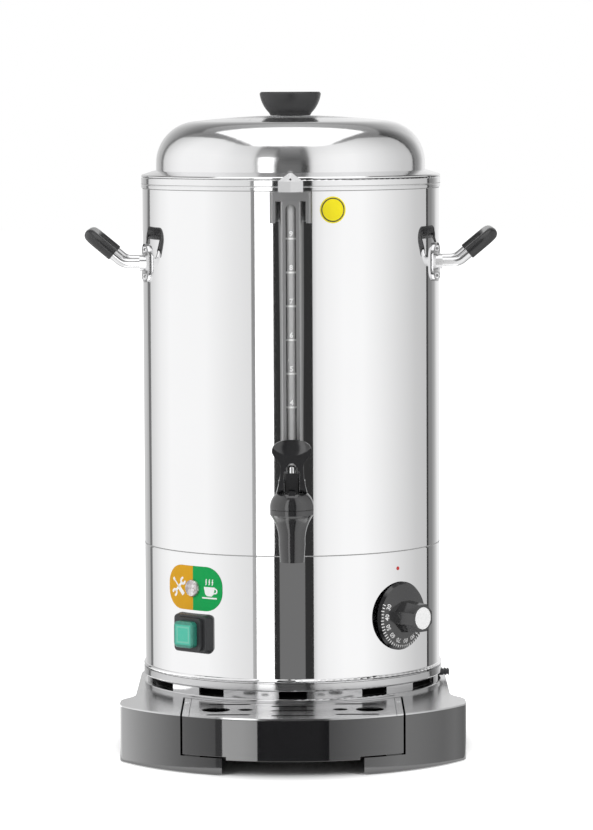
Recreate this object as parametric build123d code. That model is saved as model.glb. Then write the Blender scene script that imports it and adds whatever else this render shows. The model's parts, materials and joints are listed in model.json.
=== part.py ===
from build123d import *
from math import asin, atan2, cos, degrees, pi, radians, sin, sqrt
import os

# A hot water urn on its drip stand. Millimetres, +Z up, the front towards -Y.
# Every piece is drawn about the tank's upright axis. save() then moves it back by AXIS_Y, so that
# the origin lies on the table under the middle of the whole object.

# ---------------------------------------------------------------- clearances
RUN = 0.05            # radial play of a pin, rod or tube in its hole
SEAT = 0.05           # gap under a curved face that lies on another
GAP = 0.3             # free gap between pieces that pass each other
PAST = 5.0            # how far a cutting body runs past what it cuts
EDGE_R = 1.2          # rounded edge of a small moulding
BLADE_W, BLADE_T, BLADE_L = 6.0, 0.8, 8.0    # push-on terminal of an electrical part

# ---------------------------------------------------------------- urn body
SHELL_R = 120.0       # outside of the polished drum
SHEET_T = 0.8         # stainless sheet of drum, tank, lid and base
WALL_SPACE = 9.2      # from the drum's outside to the tank's outside
TANK_CORNER_R = 6.8
FOOT_RING_H = 2.8
FOOT_RING_LIP = 1.0   # how far the foot ring stands out past the drum
FOOT_RING_W = 25.0
VENT_H = 5.8          # open gap between foot ring and base pan
PAN_H = 6.3
PAN_LIP = 1.5
SEAM = 0.2            # visible line between two stacked shells
BASE_SHELL_H = 99.8
BEAD_R = 1.6          # rolled bead at the foot of the base shell
BEAD_UP = 2.0
GROOVE_H = 0.6        # shadow line between base shell and drum
SPIGOT_H = 8.0
DRUM_H = 288.1
RIM_H = 8.5
RIM_LIP = 1.0
RIM_GROOVE_UP = 2.4
RIM_GROOVE_R = 0.5
TAB_T = 3.0
TAB_INSET = 0.5       # tabs stand this far inside the drum's line
TAB_SPREAD = (16.3, 46.0, 76.0, 114.0, 137.0, 163.7)   # middles of the tabs, degrees from the front
TAB_HALF = (11.0, 7.4, 4.0, 4.0, 7.4, 11.0)            # half widths of the tabs, degrees

# ---------------------------------------------------------------- stand and tray
STAND_H = 45.4
STAND_LIFT = 1.0      # rubber feet hold the skirt this far off the table
STAND_FRONT_REACH = 83.4   # front edge ahead of the drum
STAND_FRONT_R = 160.0
STAND_BACK_REACH = 5.0     # back edge behind the foot ring
STAND_SIDE_REACH = 4.5     # tail's side outside the foot ring
STAND_WING_FLARE = 11.0    # wings outside the tail
STAND_WING_CORNER_R = 17.0
STAND_WING_STRAIGHT = 14.0 # straight side of a wing behind its front corner
STAND_SWEEP_L = 36.0       # length over which a wing sweeps into the tail
STAND_BACK_CORNER_R = 80.0
STAND_WALL = 2.8
PLATE_T = 1.2
RIB_T = 2.4
SUPPORT_RING_R = 104.0
SUPPORT_RIB_ANGLES = (70, 110, 150, 210, 250, 290)
BOSS_R = 9.0
FOOT_R = 7.0
FOOT_T = 2.4
FOOT_PEG_R = 3.0
FOOT_PEG_H = 6.0
FRONT_FOOT_IN, FRONT_FOOT_BEHIND = 28.5, 8.0    # from the wing's side, and behind the drum's front
BACK_FOOT_IN, BACK_FOOT_AHEAD = 33.5, 48.0      # from the tail's side, and ahead of the back edge
TRAY_HALF = 85.7
TRAY_SEAM = 1.6
TRAY_WALL = 2.6
TRAY_FLOOR_T = 2.0
TRAY_FLOOR_Z = 14.5
TRAY_LIP_DROP = 2.5
TRAY_LIP_HALF = 52.0
TRAY_REAR_SPACE = 5.0      # tray's rear edge ahead of the foot ring
TRAY_LEDGE_W = 8.0
TRAY_LEDGE_T = 2.4
RUNNER_W = 15.0
RUNNER_T = 6.0
STRIP_TOP_Z = 13.5         # top of the skirt strip under the tray's ends
FINGER_HALF = 55.0
TRIM_W = 5.0
TRIM_JOINT = 0.5
TRIM_RIVET_R = 1.1
TRIM_RIVET_AHEAD = 22.0
GRID_LIP_H = 5.0
GRID_LIP_L = 40.0
SLOT_W = 5.4
SLOT_L = 34.0
MID_SLOTS_AHEAD = (18.0, 41.0, 66.0)    # ahead of the drum
SIDE_SLOT_X = 50.0
SIDE_SLOTS_AHEAD = (7.0, 60.0)
BIG_HOLE_R = 11.0
BIG_HOLE_X = 60.0
SMALL_HOLE_R = 5.75
SMALL_HOLE_X = 37.0
HOLES_AHEAD = 35.0

# ---------------------------------------------------------------- tank heating and electrics
FLOOR_UP = 12.0       # tank floor above the groove
HEATER_R = 66.0
HEATER_T = 4.0
ELEMENT_R = 54.0
ELEMENT_TUBE_R = 4.0
TERMINAL_R = 1.5
TERMINAL_L = 14.0
TERMINAL_X = 9.0      # from the middle of the gap between the element's two ends
CUTOUT_R = 8.0
CUTOUT_T = 9.0
CUTOUT_Y = -12.0
CUTOUT_BLADE_X = 4.0
BULB_R = 3.0
BULB_L = 62.0
BULB_Y = 20.0
CAPILLARY_R = 0.9
CAPILLARY_BEND_R = 5.0
CAPILLARY_LEAD = 14.0      # straight out of the thermostat
CAPILLARY_SWING = 20.0     # how far it swings past the bulb's end
CAPILLARY_RISE = 10.0      # how far it arches above the straight line
BLOCK_L, BLOCK_W, BLOCK_H = 44.0, 18.0, 20.0
BLOCK_Y = 62.0
BLOCK_WAYS = 4
WIRE_W, WIRE_H, WIRE_UP = 4.0, 4.0, 4.0      # wire's way in at the front of each terminal
GLAND_ANGLE = 95.0
GLAND_W, GLAND_H = 11.0, 5.2
GLAND_INSIDE, GLAND_OUTSIDE = 10.0, 8.0
GLAND_RIBS = 2
GLAND_NECK = 0.8      # depth of the grooves between its ribs
GLAND_HOLE_W, GLAND_HOLE_H = 6.0, 2.2

# ---------------------------------------------------------------- controls
SWITCH_ANGLE, SWITCH_UP = -40.5, 36.9
BEZEL_W, BEZEL_H, BEZEL_OUT = 36.5, 31.5, 5.5
BEZEL_LEAN = 12.0     # its sides lean in, degrees
COLLAR_W, COLLAR_H, COLLAR_OUT = 27.5, 26.0, 8.5
BEZEL_CORNER_R, COLLAR_CORNER_R = 4.5, 3.5
BOOT_W, BOOT_H, BOOT_OUT, BOOT_WALL = 20.0, 21.0, 14.0, 0.8
BOOT_CORNER_R = 4.0
ROCKER_W, ROCKER_H, ROCKER_DEEP = 14.6, 15.6, 5.0
ROCKER_RISE = 10.5
ROCKER_HOLLOW = 1.2
ROCKER_TILT = 6.5     # the rocker rests tipped this far to one side
SWITCH_DEEP = 29.0
SWITCH_MOUTH_SPACE = 1.4      # room beside the rocker for its swing
SWITCH_BLADES = [(x, y) for x in (-6.0, 6.0) for y in (-5.0, 5.0)]
LAMP_ANGLE, LAMP_UP = -41.0, 72.8
LABEL_W, LABEL_H, LABEL_T = 56.3, 35.3, 0.45
LENS_R, LENS_OUT = 6.75, 3.2
LAMP_R, LAMP_DEEP = 5.0, 24.0
LABEL_CORNER_R = 15.5
LAMP_NUT_T, LAMP_BLADE_X = 3.0, 2.5
DIAL_ANGLE, DIAL_UP = 45.5, 49.1
DIAL_R, DIAL_FACE_R = 27.25, 25.4
DIAL_OFF, DIAL_RIM_T, DIAL_CONE = 0.9, 2.4, 3.0
HUB_ACROSS, HUB_TIP_ACROSS, HUB_OUT = 25.0, 21.5, 24.6
DIAL_CAP_R, DIAL_CAP_T = 8.8, 1.2
DIAL_SIDES = 8
DIAL_LIP = 4.0        # solid rim round the hollow back of the dial
SPINDLE_R = 3.0
NECK_R = 5.0
THERMOSTAT_W, THERMOSTAT_D, THERMOSTAT_BACK = 36.0, 30.0, 10.0
THERMOSTAT_CORNER_R = 3.0
POST_R, POST_X = 2.5, 14.0

# ---------------------------------------------------------------- tap and level gauge
SHANK_UP = 17.7       # shank's centre above the tank floor
SHANK_R, SHANK_BORE_R = 8.0, 4.5
SHANK_PAST_NUT, SHANK_FLANGE_T = 3.0, 3.0
TAP_REACH = 50.0      # tap's axis ahead of the drum
SPOUT_BELOW = 27.0    # outlet's end below the shank's centre
SPOUT_R, SPOUT_BORE_R = 9.3, 6.5
SPOUT_STRAIGHT, SPOUT_TOP_R = 14.0, 10.3
COLLAR_UP, COLLAR_R, COLLAR_T = 10.0, 17.0, 4.0
THROAT_R, THROAT_UP = 12.0, 0.5
CHAMBER_R, SEAT_BELOW, SEAT_ABOVE = 10.0, 5.0, 2.0
NECK_OUT_R, NECK_H = 13.0, 6.0
BONNET_TOP_R, BONNET_H, BONNET_SHOULDER_R, BONNET_SHOULDER_UP = 12.0, 12.3, 15.9, 7.0
BONNET_ROOF_T = 3.6
CUP_CONE_OFF, CUP_H, CUP_TOP_R, CUP_SHOULDER = 0.5, 13.0, 5.5, 3.0
STEM_R, STEM_BLOCK_UP, STEM_FOOT_UP = 2.9, 0.4, 3.0
STEM_BLOCK_W, STEM_BLOCK_D, STEM_BLOCK_H = 11.6, 8.0, 15.2
STEM_TIP_R, STEM_TIP_H = 3.2, 6.0
PIN_UP, PIN_R, PIN_L = 8.9, 1.5, 21.0
SPRING_R, SPRING_WIRE_R, SPRING_TURNS = 6.2, 0.7, 4
LUG_W, LUG_T, LUG_RISE = 5.0, 3.0, 2.4
LEVER_H, LEVER_HALF, LEVER_NECK_HALF, LEVER_FOOT_HALF = 41.4, 15.35, 8.85, 13.0
LEVER_WIDEST_DOWN, LEVER_NECK_DOWN = 9.0, 21.6
LEVER_TIP_WAY_HALF, LEVER_WINDOW_UP = 4.3, 14.4
LEVER_BACK, LEVER_TIP_LEAN, LEVER_TIP_T = 5.0, 12.0, 5.0
LEVER_DISH_HALF, LEVER_DISH_R, LEVER_DISH_DEEP = 23.0, 14.0, 2.0
CAM_LIFT = 2.6        # how far the stem rises over the lever's throw
LEVER_THROW = 45.0
CAM_POINTS = 5
GAUGE_REACH = 14.0    # gauge's axis ahead of the drum
SOCKET_R, SOCKET_UP, SOCKET_WAY_R = 8.0, 16.0, 3.0
GLASS_R, GLASS_T = 5.0, 1.2
SEAL_T, SEAL_H = 0.6, 4.0
END_GAP = 1.0         # glass and seals stop this far short of the metal at their ends
GUARD_HALF, GUARD_FRONT, GUARD_LEG = 8.6, 8.0, 4.0
GUARD_T, GUARD_CORNER_R = 1.0, 2.2
GUARD_SLOT_W, GUARD_SLOT_TOP = 7.8, 10.3
GUARD_FOOT = 5.0      # unslotted foot of the guard
BRACKET_HALF, BRACKET_H, BRACKET_BAND = 16.3, 24.0, 7.0
BRACKET_T, BRACKET_FRONT = 1.2, 1.3
BRACKET_WINDOW_HALF = 12.0
NUT_ACROSS, NUT_H, NUT_CONE_H, NUT_TIP_R = 19.4, 8.4, 6.4, 1.2
STUB_R, STUB_L, STUB_BORE_R = 6.2, 8.0, 5.7
VENT_HOLE_R = 0.8
WASHER_R, WASHER_T = 11.5, 2.0
SHANK_NUT_ACROSS, SHANK_NUT_T = 22.0, 6.0

# ---------------------------------------------------------------- handles
HANDLE_DOWN = 60.0    # rods below the drum's top
HANDLE_HALF = 32.5    # half the spacing of a handle's two legs
ROD_R = 3.9
ROD_BEND_OUT, ROD_BEND_R = 14.6, 12.0
HANDLE_REACH, HANDLE_RISE = 41.0, 22.0
GRIP_R, GRIP_CORNER_R = 5.15, 10.0
GRIP_START = 0.31     # where along the sloping leg the grip begins
FLANGE_W, FLANGE_H, FLANGE_T = 24.0, 31.0, 2.2
FLANGE_BOSS_R, FLANGE_BOSS_OUT = 6.2, 6.0
SCREW_R, SCREW_HEAD_R, SCREW_HEAD_T, SCREW_L = 1.5, 2.8, 1.6, 7.0
SCREW_SLOT_W, SCREW_SLOT_DEEP = 0.7, 0.8
SCREW_SPREAD = 10.8

# ---------------------------------------------------------------- lid
LID_PLAY = 1.2        # between the lid's wall and the tank
LID_WALL_DEPTH = 7.5
LID_SHOULDER_UP = 11.1
LID_SHOULDER_R = 33.6
LID_TOP_UP = 49.1
LID_FLANGE_UP, LID_FLANGE_DROP = 4.9, 3.0
LID_FLANGE_TOP_W, LID_FLANGE_NOSE = 2.0, 0.8      # flat top beside the wall, blunt outer edge
STEAM_HOLES, STEAM_HOLE_R, STEAM_RING_R = 3, 1.5, 63.5
KNOB_NECK_R, KNOB_WIDE_R, KNOB_TOP_R, KNOB_DISH_R = 16.1, 24.6, 23.2, 20.0
KNOB_WIDE_UP, KNOB_H, KNOB_DISH_DEEP = 16.3, 19.0, 1.2
KNOB_FOOT_OUT, KNOB_FOOT_H = 1.2, 2.2     # small step at the knob's foot
KNOB_WAIST_OUT, KNOB_WAIST_UP = 5.2, 7.3
KNOB_EDGE_IN, KNOB_EDGE_DOWN = 0.3, 0.7
KNOB_BORE_R, KNOB_BORE_DEEP = 2.0, 10.0
KNOB_WASHER_R, KNOB_WASHER_T = 7.0, 1.0
KNOB_SCREW_HEAD_R, KNOB_SCREW_HEAD_T = 4.0, 2.4

# ---------------------------------------------------------------- levels and radii worked out
URN_Z = STAND_H
VENT_Z = URN_Z + FOOT_RING_H
PAN_Z = VENT_Z + VENT_H
BASE_Z = PAN_Z + PAN_H + SEAM
GROOVE_Z = BASE_Z + BASE_SHELL_H
DRUM_Z = GROOVE_Z + GROOVE_H
RIM_Z = DRUM_Z + DRUM_H
RIM_TOP = RIM_Z + RIM_H
TANK_FLOOR_Z = GROOVE_Z + FLOOR_UP
HEATER_Z = TANK_FLOOR_Z - SHEET_T - HEATER_T
TANK_OUT_R = SHELL_R - WALL_SPACE
TANK_R = TANK_OUT_R - SHEET_T
RIM_UNDER_Z = RIM_TOP - SHEET_T    # the rim's underside, on which drum and tank end
WELD_Z = TANK_FLOOR_Z + TANK_CORNER_R    # seam between the tank's floor and its wall
SHELL_IN_R = SHELL_R - SHEET_T
PAN_R = SHELL_R + PAN_LIP
FOOT_RING_R = SHELL_R + FOOT_RING_LIP
RIM_R = SHELL_R + RIM_LIP

STAND_FRONT_Y = -SHELL_R - STAND_FRONT_REACH
STAND_BACK_Y = FOOT_RING_R + STAND_BACK_REACH
STAND_TAIL_HALF = FOOT_RING_R + STAND_SIDE_REACH
STAND_WING_HALF = STAND_TAIL_HALF + STAND_WING_FLARE
AXIS_Y = -(STAND_FRONT_Y + STAND_BACK_Y) / 2
PLATE_Z = STAND_H - PLATE_T
BAY_HALF = TRAY_HALF + TRAY_SEAM
TRAY_REAR_R = FOOT_RING_R + TRAY_REAR_SPACE
BAY_REAR_R = TRAY_REAR_R - TRAY_SEAM

SHANK_Z = TANK_FLOOR_Z + SHANK_UP
GAUGE_Y = -SHELL_R - GAUGE_REACH
TAP_Y = -SHELL_R - TAP_REACH
SPOUT_Z = SHANK_Z - SPOUT_BELOW
COLLAR_Z = SHANK_Z + COLLAR_UP
BONNET_Z = COLLAR_Z + COLLAR_T + GAP
BONNET_TOP = BONNET_Z + BONNET_H
PIN_Z = BONNET_TOP + PIN_UP
SOCKET_TOP = SHANK_Z + SOCKET_UP
BRACKET_TOP = RIM_Z - 1.0
HANDLE_Z = RIM_Z - HANDLE_DOWN
ROCKER_PIVOT = SHELL_R + 1.0


# ---------------------------------------------------------------- helpers
def prism(face, z0, z1):
    """The plan shape stood up between two heights."""
    return Pos(0, 0, z0) * extrude(face, z1 - z0)


def disc(r, z0, z1):
    return prism(Circle(r), z0, z1)


def tube(r_out, r_in, z0, z1):
    return prism(Circle(r_out) - Circle(r_in), z0, z1)


def block(x, y, z):
    """A box between the given pairs of limits."""
    size = [b - a for a, b in (x, y, z)]
    middle = [(a + b) / 2 for a, b in (x, y, z)]
    return Pos(*middle) * Box(*size)


def outline(*points):
    return make_face(Polyline(*points, close=True))


def spun(face):
    """A half section in X and Z turned about the Z axis."""
    return revolve(Plane.XZ * face, Axis.Z)


def group(pieces):
    """Several separate solids kept together as one sub-part."""
    return Compound(children=[solid for piece in pieces for solid in piece.solids()])


def panel(angle, z):
    """Axes at a place on the drum: x to the right, y up, z outwards from the drum's axis."""
    a = radians(angle)
    return Location(Plane((0, 0, z), x_dir=(cos(a), sin(a), 0), z_dir=(sin(a), -cos(a), 0)))


def sector(r_out, r_in, middle, half):
    """Plan of a ring's stretch, by its middle and half width in degrees from the front."""
    reach = 2 * r_out
    corners = [(reach * sin(radians(a)), -reach * cos(radians(a)))
               for a in (middle - half, middle, middle + half)]
    return (Circle(r_out) - Circle(r_in)) & outline((0, 0), *corners)


def mirrored(shape):
    return mirror(shape, about=Plane.YZ)


# ---------------------------------------------------------------- stand
def stand_plan(inset=0.0):
    """Plan of the stand: bowed front, swept wings, narrower tail. inset moves the edge in."""
    front_c = STAND_FRONT_Y + STAND_FRONT_R
    wing, tail = STAND_WING_HALF - inset, STAND_TAIL_HALF - inset
    back = STAND_BACK_Y - inset
    # corner where the bowed front turns into the wing
    cx = STAND_WING_HALF - STAND_WING_CORNER_R
    cy = front_c - sqrt((STAND_FRONT_R - STAND_WING_CORNER_R) ** 2 - cx ** 2)
    lean = atan2(cx, front_c - cy)
    front_r, corner_r = STAND_FRONT_R - inset, STAND_WING_CORNER_R - inset
    front_end = (front_r * sin(lean), front_c - front_r * cos(lean))
    turn = (lean + pi / 2) / 2
    corner_mid = (cx + corner_r * sin(turn), cy - corner_r * cos(turn))
    # two equal arcs sweep the wing into the tail
    wing_end = cy + STAND_WING_STRAIGHT
    tail_start = wing_end + STAND_SWEEP_L
    sweep_r = (STAND_WING_FLARE ** 2 + STAND_SWEEP_L ** 2) / (4 * STAND_WING_FLARE)
    half_turn = atan2(STAND_WING_FLARE, STAND_SWEEP_L)
    wing_c, tail_c = STAND_WING_HALF - sweep_r, STAND_TAIL_HALF + sweep_r
    r1, r2 = sweep_r - inset, sweep_r + inset
    wing_mid = (wing_c + r1 * cos(half_turn), wing_end + r1 * sin(half_turn))
    join = (wing_c + r1 * cos(2 * half_turn), wing_end + r1 * sin(2 * half_turn))
    tail_mid = (tail_c - r2 * cos(half_turn), tail_start - r2 * sin(half_turn))
    # rounded back corner
    back_r = STAND_BACK_CORNER_R - inset
    bx, by = tail - back_r, back - back_r
    back_mid = (bx + back_r * sin(pi / 4), by + back_r * cos(pi / 4))
    half = [
        ThreePointArc(front_end, corner_mid, (wing, cy)),
        Line((wing, cy), (wing, wing_end)),
        ThreePointArc((wing, wing_end), wing_mid, join),
        ThreePointArc(join, tail_mid, (tail, tail_start)),
        Line((tail, tail_start), (tail, by)),
        ThreePointArc((tail, by), back_mid, (bx, back)),
    ]
    ends = [
        ThreePointArc((-front_end[0], front_end[1]), (0, STAND_FRONT_Y + inset), front_end),
        Line((bx, back), (-bx, back)),
    ]
    return make_face(half + [mirrored(edge) for edge in half] + ends)


def bay_plan(grow=0.0):
    """Plan of the tray's bay, open at the front, its rear edge round the drum's axis."""
    half = BAY_HALF + grow
    depth = -STAND_FRONT_Y + PAST
    return Pos(0, -depth / 2) * Rectangle(2 * half, depth) - Circle(BAY_REAR_R - grow)


def tray_plan(inset=0.0):
    """Plan of the tray: flush with the stand's bowed front, hollow round the urn's foot."""
    half = TRAY_HALF - inset
    depth = -STAND_FRONT_Y + PAST
    bowed = Pos(0, STAND_FRONT_Y + STAND_FRONT_R) * Circle(STAND_FRONT_R - inset)
    return (Pos(0, -depth / 2) * Rectangle(2 * half, depth) & bowed) - Circle(TRAY_REAR_R + inset)


def foot_places():
    front = (STAND_WING_HALF - FRONT_FOOT_IN, -SHELL_R + FRONT_FOOT_BEHIND)
    back = (STAND_TAIL_HALF - BACK_FOOT_IN, STAND_BACK_Y - BACK_FOOT_AHEAD)
    return [(side * x, y) for x, y in (front, back) for side in (1, -1)]


def stand_skirt():
    """Moulded skirt: outer wall, walls round the tray's bay, support ring, ribs and foot bosses."""
    inside = prism(stand_plan(STAND_WALL / 2), STAND_LIFT, PLATE_Z)
    wall = prism(stand_plan() - stand_plan(STAND_WALL), STAND_LIFT, PLATE_Z)
    ribs = tube(SUPPORT_RING_R, SUPPORT_RING_R - RIB_T, STAND_LIFT, PLATE_Z)
    rib_end = 2 * STAND_BACK_Y
    for angle in SUPPORT_RIB_ANGLES:
        rib = block((-RIB_T / 2, RIB_T / 2), (SUPPORT_RING_R - RIB_T, rib_end), (STAND_LIFT, PLATE_Z))
        ribs += Rot(0, 0, 180 + angle) * rib & inside
    for x, y in foot_places():
        ribs += Pos(x, y) * disc(BOSS_R, STAND_LIFT, PLATE_Z)
        reach = block((0, rib_end), (-RIB_T / 2, RIB_T / 2), (STAND_LIFT, PLATE_Z))
        ribs += Pos(x, y) * Rot(0, 0, 0 if x > 0 else 180) * reach & inside
    ribs -= prism(bay_plan(RIB_T / 2), 0, STAND_H)
    bay_wall = prism((bay_plan(RIB_T) - bay_plan()) & stand_plan(STAND_WALL / 2), STAND_LIFT, PLATE_Z)
    skirt = wall + ribs + bay_wall
    skirt -= prism(bay_plan(), STRIP_TOP_Z, STAND_H)
    skirt -= block((-FINGER_HALF, FINGER_HALF), (STAND_FRONT_Y - PAST, -BAY_REAR_R), (0, STAND_H))
    for x, y in foot_places():
        skirt -= Pos(x, y) * disc(FOOT_R + GAP, 0, FOOT_T)
        skirt -= Pos(x, y) * disc(FOOT_PEG_R + RUN, 0, FOOT_T + FOOT_PEG_H + GAP)
    return skirt


def tray_runners():
    """Two rails inside the bay's walls, on which the tray slides."""
    top = TRAY_FLOOR_Z - GAP
    plan = bay_plan() & stand_plan(STAND_WALL)
    plan -= Rectangle(2 * (BAY_HALF - RUNNER_W), 4 * STAND_FRONT_R)
    return group(prism(plan, top - RUNNER_T, top).solids())


def stand_top_plate():
    return prism(stand_plan() - bay_plan(), PLATE_Z, STAND_H)


def stand_feet():
    foot = disc(FOOT_R, 0, FOOT_T) + disc(FOOT_PEG_R, FOOT_T, FOOT_T + FOOT_PEG_H)
    foot = fillet(foot.edges().group_by(Axis.Z)[0], STAND_LIFT / 2)
    return group([Pos(x, y) * foot for x, y in foot_places()])


# ---------------------------------------------------------------- drip tray
def drip_tray_pan():
    pan = prism(tray_plan(), TRAY_FLOOR_Z, PLATE_Z)
    pan -= prism(tray_plan(TRAY_WALL), TRAY_FLOOR_Z + TRAY_FLOOR_T, STAND_H)
    inner_half = TRAY_HALF - TRAY_LEDGE_W
    ledge = tray_plan() - Rectangle(2 * inner_half, 4 * STAND_FRONT_R)
    pan += prism(ledge, PLATE_Z - TRAY_LEDGE_T, PLATE_Z)
    front = tray_plan() - tray_plan(TRAY_WALL)
    front &= Pos(0, STAND_FRONT_Y) * Rectangle(2 * TRAY_LIP_HALF, STAND_FRONT_R / 4)
    return pan + prism(front, TRAY_FLOOR_Z - TRAY_LIP_DROP, TRAY_FLOOR_Z)


def rivet_places():
    x = TRAY_HALF - TRIM_W / 2
    rear = -sqrt(TRAY_REAR_R ** 2 - x ** 2)
    return [(x, rear - TRIM_RIVET_AHEAD), (-x, rear - TRIM_RIVET_AHEAD)]


def tray_trims():
    """The bright strips at the tray's two ends."""
    trims = prism(tray_plan() - Rectangle(2 * (TRAY_HALF - TRIM_W), 4 * STAND_FRONT_R), PLATE_Z, STAND_H)
    for x, y in rivet_places():
        trims -= Pos(x, y) * disc(TRIM_RIVET_R + RUN, PLATE_Z, STAND_H)
    return group(trims.solids())


def trim_rivets():
    rivet = disc(TRIM_RIVET_R, PLATE_Z, STAND_H) + disc(TRIM_RIVET_R * 1.6, STAND_H, STAND_H + SEAM)
    return group([Pos(x, y) * rivet for x, y in rivet_places()])


def drip_grid():
    half = TRAY_HALF - TRIM_W - TRIM_JOINT
    plate = prism(tray_plan() & Rectangle(2 * half, 4 * STAND_FRONT_R), PLATE_Z, STAND_H)
    slot, hole_y = SlotOverall(SLOT_L, SLOT_W), -SHELL_R - HOLES_AHEAD
    cuts = [Pos(0, -SHELL_R - ahead) * slot for ahead in MID_SLOTS_AHEAD]
    for side in (1, -1):
        cuts += [Pos(side * SIDE_SLOT_X, -SHELL_R - ahead) * slot for ahead in SIDE_SLOTS_AHEAD]
        cuts += [Pos(side * BIG_HOLE_X, hole_y) * Circle(BIG_HOLE_R)]
        cuts += [Pos(side * SMALL_HOLE_X, hole_y) * Circle(SMALL_HOLE_R)]
    for cut in cuts:
        plate -= prism(cut, PLATE_Z - PAST, STAND_H + PAST)
    lip_x = TRAY_HALF - TRAY_LEDGE_W - GAP
    for side in (1, -1):
        x = sorted((side * lip_x, side * (lip_x - PLATE_T)))
        y = (hole_y - GRID_LIP_L / 2, hole_y + GRID_LIP_L / 2)
        plate += block(x, y, (PLATE_Z - GRID_LIP_H, PLATE_Z))
    return plate


# ---------------------------------------------------------------- urn housing
def foot_ring():
    ring = tube(FOOT_RING_R, FOOT_RING_R - FOOT_RING_W, URN_Z, VENT_Z)
    ring = fillet(ring.edges().group_by(Axis.Z)[-1].sort_by(SortBy.RADIUS)[-1], SHEET_T)
    wall = 2 * SHEET_T
    hollow = tube(FOOT_RING_R - wall, FOOT_RING_R - FOOT_RING_W + wall, 0, VENT_Z - SHEET_T)
    return ring - hollow


def spacer_tabs():
    outer = SHELL_R - TAB_INSET
    tabs = []
    for middle, half in zip(TAB_SPREAD, TAB_HALF):
        for side in (1, -1):
            tabs.append(prism(sector(outer, outer - TAB_T, side * middle, half), VENT_Z, PAN_Z))
    return group(tabs)


def base_pan():
    body = disc(PAN_R, PAN_Z, PAN_Z + PAN_H)
    body = fillet(body.edges().group_by(Axis.Z)[0], PAN_LIP)
    return body - disc(PAN_R - 2 * SHEET_T, PAN_Z + 2 * SHEET_T, PAN_Z + PAN_H + PAST)


def base_shell():
    shell = tube(SHELL_R, SHELL_IN_R, BASE_Z, GROOVE_Z)
    bead = revolve(Plane.XZ * Pos(SHELL_R, BASE_Z + BEAD_UP) * Circle(BEAD_R), Axis.Z)
    shell += bead - disc(SHELL_IN_R, 0, RIM_TOP)
    shell += tube(SHELL_IN_R - RUN, SHELL_IN_R - RUN - SHEET_T, GROOVE_Z - SHEET_T, GROOVE_Z + SPIGOT_H)
    shell += tube(SHELL_R - SHEET_T / 2, SHELL_IN_R - RUN - SHEET_T, GROOVE_Z - SHEET_T, GROOVE_Z)
    cut = SHELL_R + PAST
    switch = RectangleRounded(BOOT_W + 2 * BOOT_CORNER_R, BOOT_H + BOOT_CORNER_R, BOOT_WALL)
    shell -= panel(SWITCH_ANGLE, BASE_Z + SWITCH_UP) * prism(switch, SHELL_R / 2, cut)
    shell -= panel(LAMP_ANGLE, BASE_Z + LAMP_UP) * disc(LAMP_R + GAP, SHELL_R / 2, cut)
    shell -= panel(DIAL_ANGLE, BASE_Z + DIAL_UP) * disc(NECK_R + GAP, SHELL_R / 2, cut)
    return shell


def drum_shell():
    shell = tube(SHELL_R, SHELL_IN_R, DRUM_Z, RIM_UNDER_Z)
    shell -= panel(0, SHANK_Z) * disc(SHANK_R + GAP, SHELL_R / 2, SHELL_R + PAST)
    for hole in screw_spots():
        shell -= hole * disc(SCREW_R + RUN, SHELL_R - PAST, SHELL_R + PAST)
    return shell


def top_rim():
    """Bright channel that clips over the top edges of drum and tank."""
    rim = disc(RIM_R, RIM_Z, RIM_TOP)
    rim = fillet(rim.edges().group_by(Axis.Z)[-1], RIM_LIP)
    rim -= disc(SHELL_R + RUN, 0, RIM_UNDER_Z)
    rim -= disc(TANK_R + RUN, 0, RIM_TOP + PAST)
    groove = Pos(RIM_R + RIM_GROOVE_R / 2, RIM_Z + RIM_GROOVE_UP) * Circle(RIM_GROOVE_R)
    return rim - revolve(Plane.XZ * groove, Axis.Z)


def cup_body(r, z0, z1, corner):
    body = disc(r, z0, z1)
    return fillet(body.edges().group_by(Axis.Z)[0], corner)


def inner_tank():
    """Wall of the tank, with the hole for the tap's shank."""
    wall = tube(TANK_OUT_R, TANK_R, WELD_Z, RIM_UNDER_Z)
    return wall - panel(0, SHANK_Z) * disc(SHANK_R + RUN, SHELL_R / 2, SHELL_R)


def tank_floor():
    """Dished floor, welded edge to edge with the tank's wall."""
    floor = cup_body(TANK_OUT_R, TANK_FLOOR_Z - SHEET_T, WELD_Z, TANK_CORNER_R)
    return floor - cup_body(TANK_R, TANK_FLOOR_Z, WELD_Z + PAST, TANK_CORNER_R - SHEET_T)


# ---------------------------------------------------------------- heating and electrics
def heater_plate():
    return disc(HEATER_R, HEATER_Z, HEATER_Z + HEATER_T)


def heating_element():
    """Sheathed ring, open at the back, with a terminal pin under each of its ends."""
    z = HEATER_Z - ELEMENT_TUBE_R - SEAT
    gap = 2 * degrees(asin((TERMINAL_X - ELEMENT_TUBE_R) / ELEMENT_R))
    section = Plane.XZ * Pos(ELEMENT_R, z) * Circle(ELEMENT_TUBE_R)
    element = Rot(0, 0, 90 + gap / 2) * revolve(section, Axis.Z, 360 - gap)
    y = sqrt(ELEMENT_R ** 2 - TERMINAL_X ** 2)
    for x in (TERMINAL_X, -TERMINAL_X):
        element += Pos(x, y) * disc(TERMINAL_R, z - TERMINAL_L, z)
    return element


def blade(x, y, top):
    """A push-on terminal that hangs below the given level."""
    return block((x - BLADE_T / 2, x + BLADE_T / 2), (y - BLADE_W / 2, y + BLADE_W / 2), (top - BLADE_L, top))


def dry_cutout():
    top = HEATER_Z
    body = disc(CUTOUT_R, top - CUTOUT_T, top)
    for x in (-CUTOUT_BLADE_X, CUTOUT_BLADE_X):
        body += blade(x, 0, top - CUTOUT_T)
    return Pos(0, CUTOUT_Y) * body


def bulb_z():
    return HEATER_Z - BULB_R - SEAT


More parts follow.
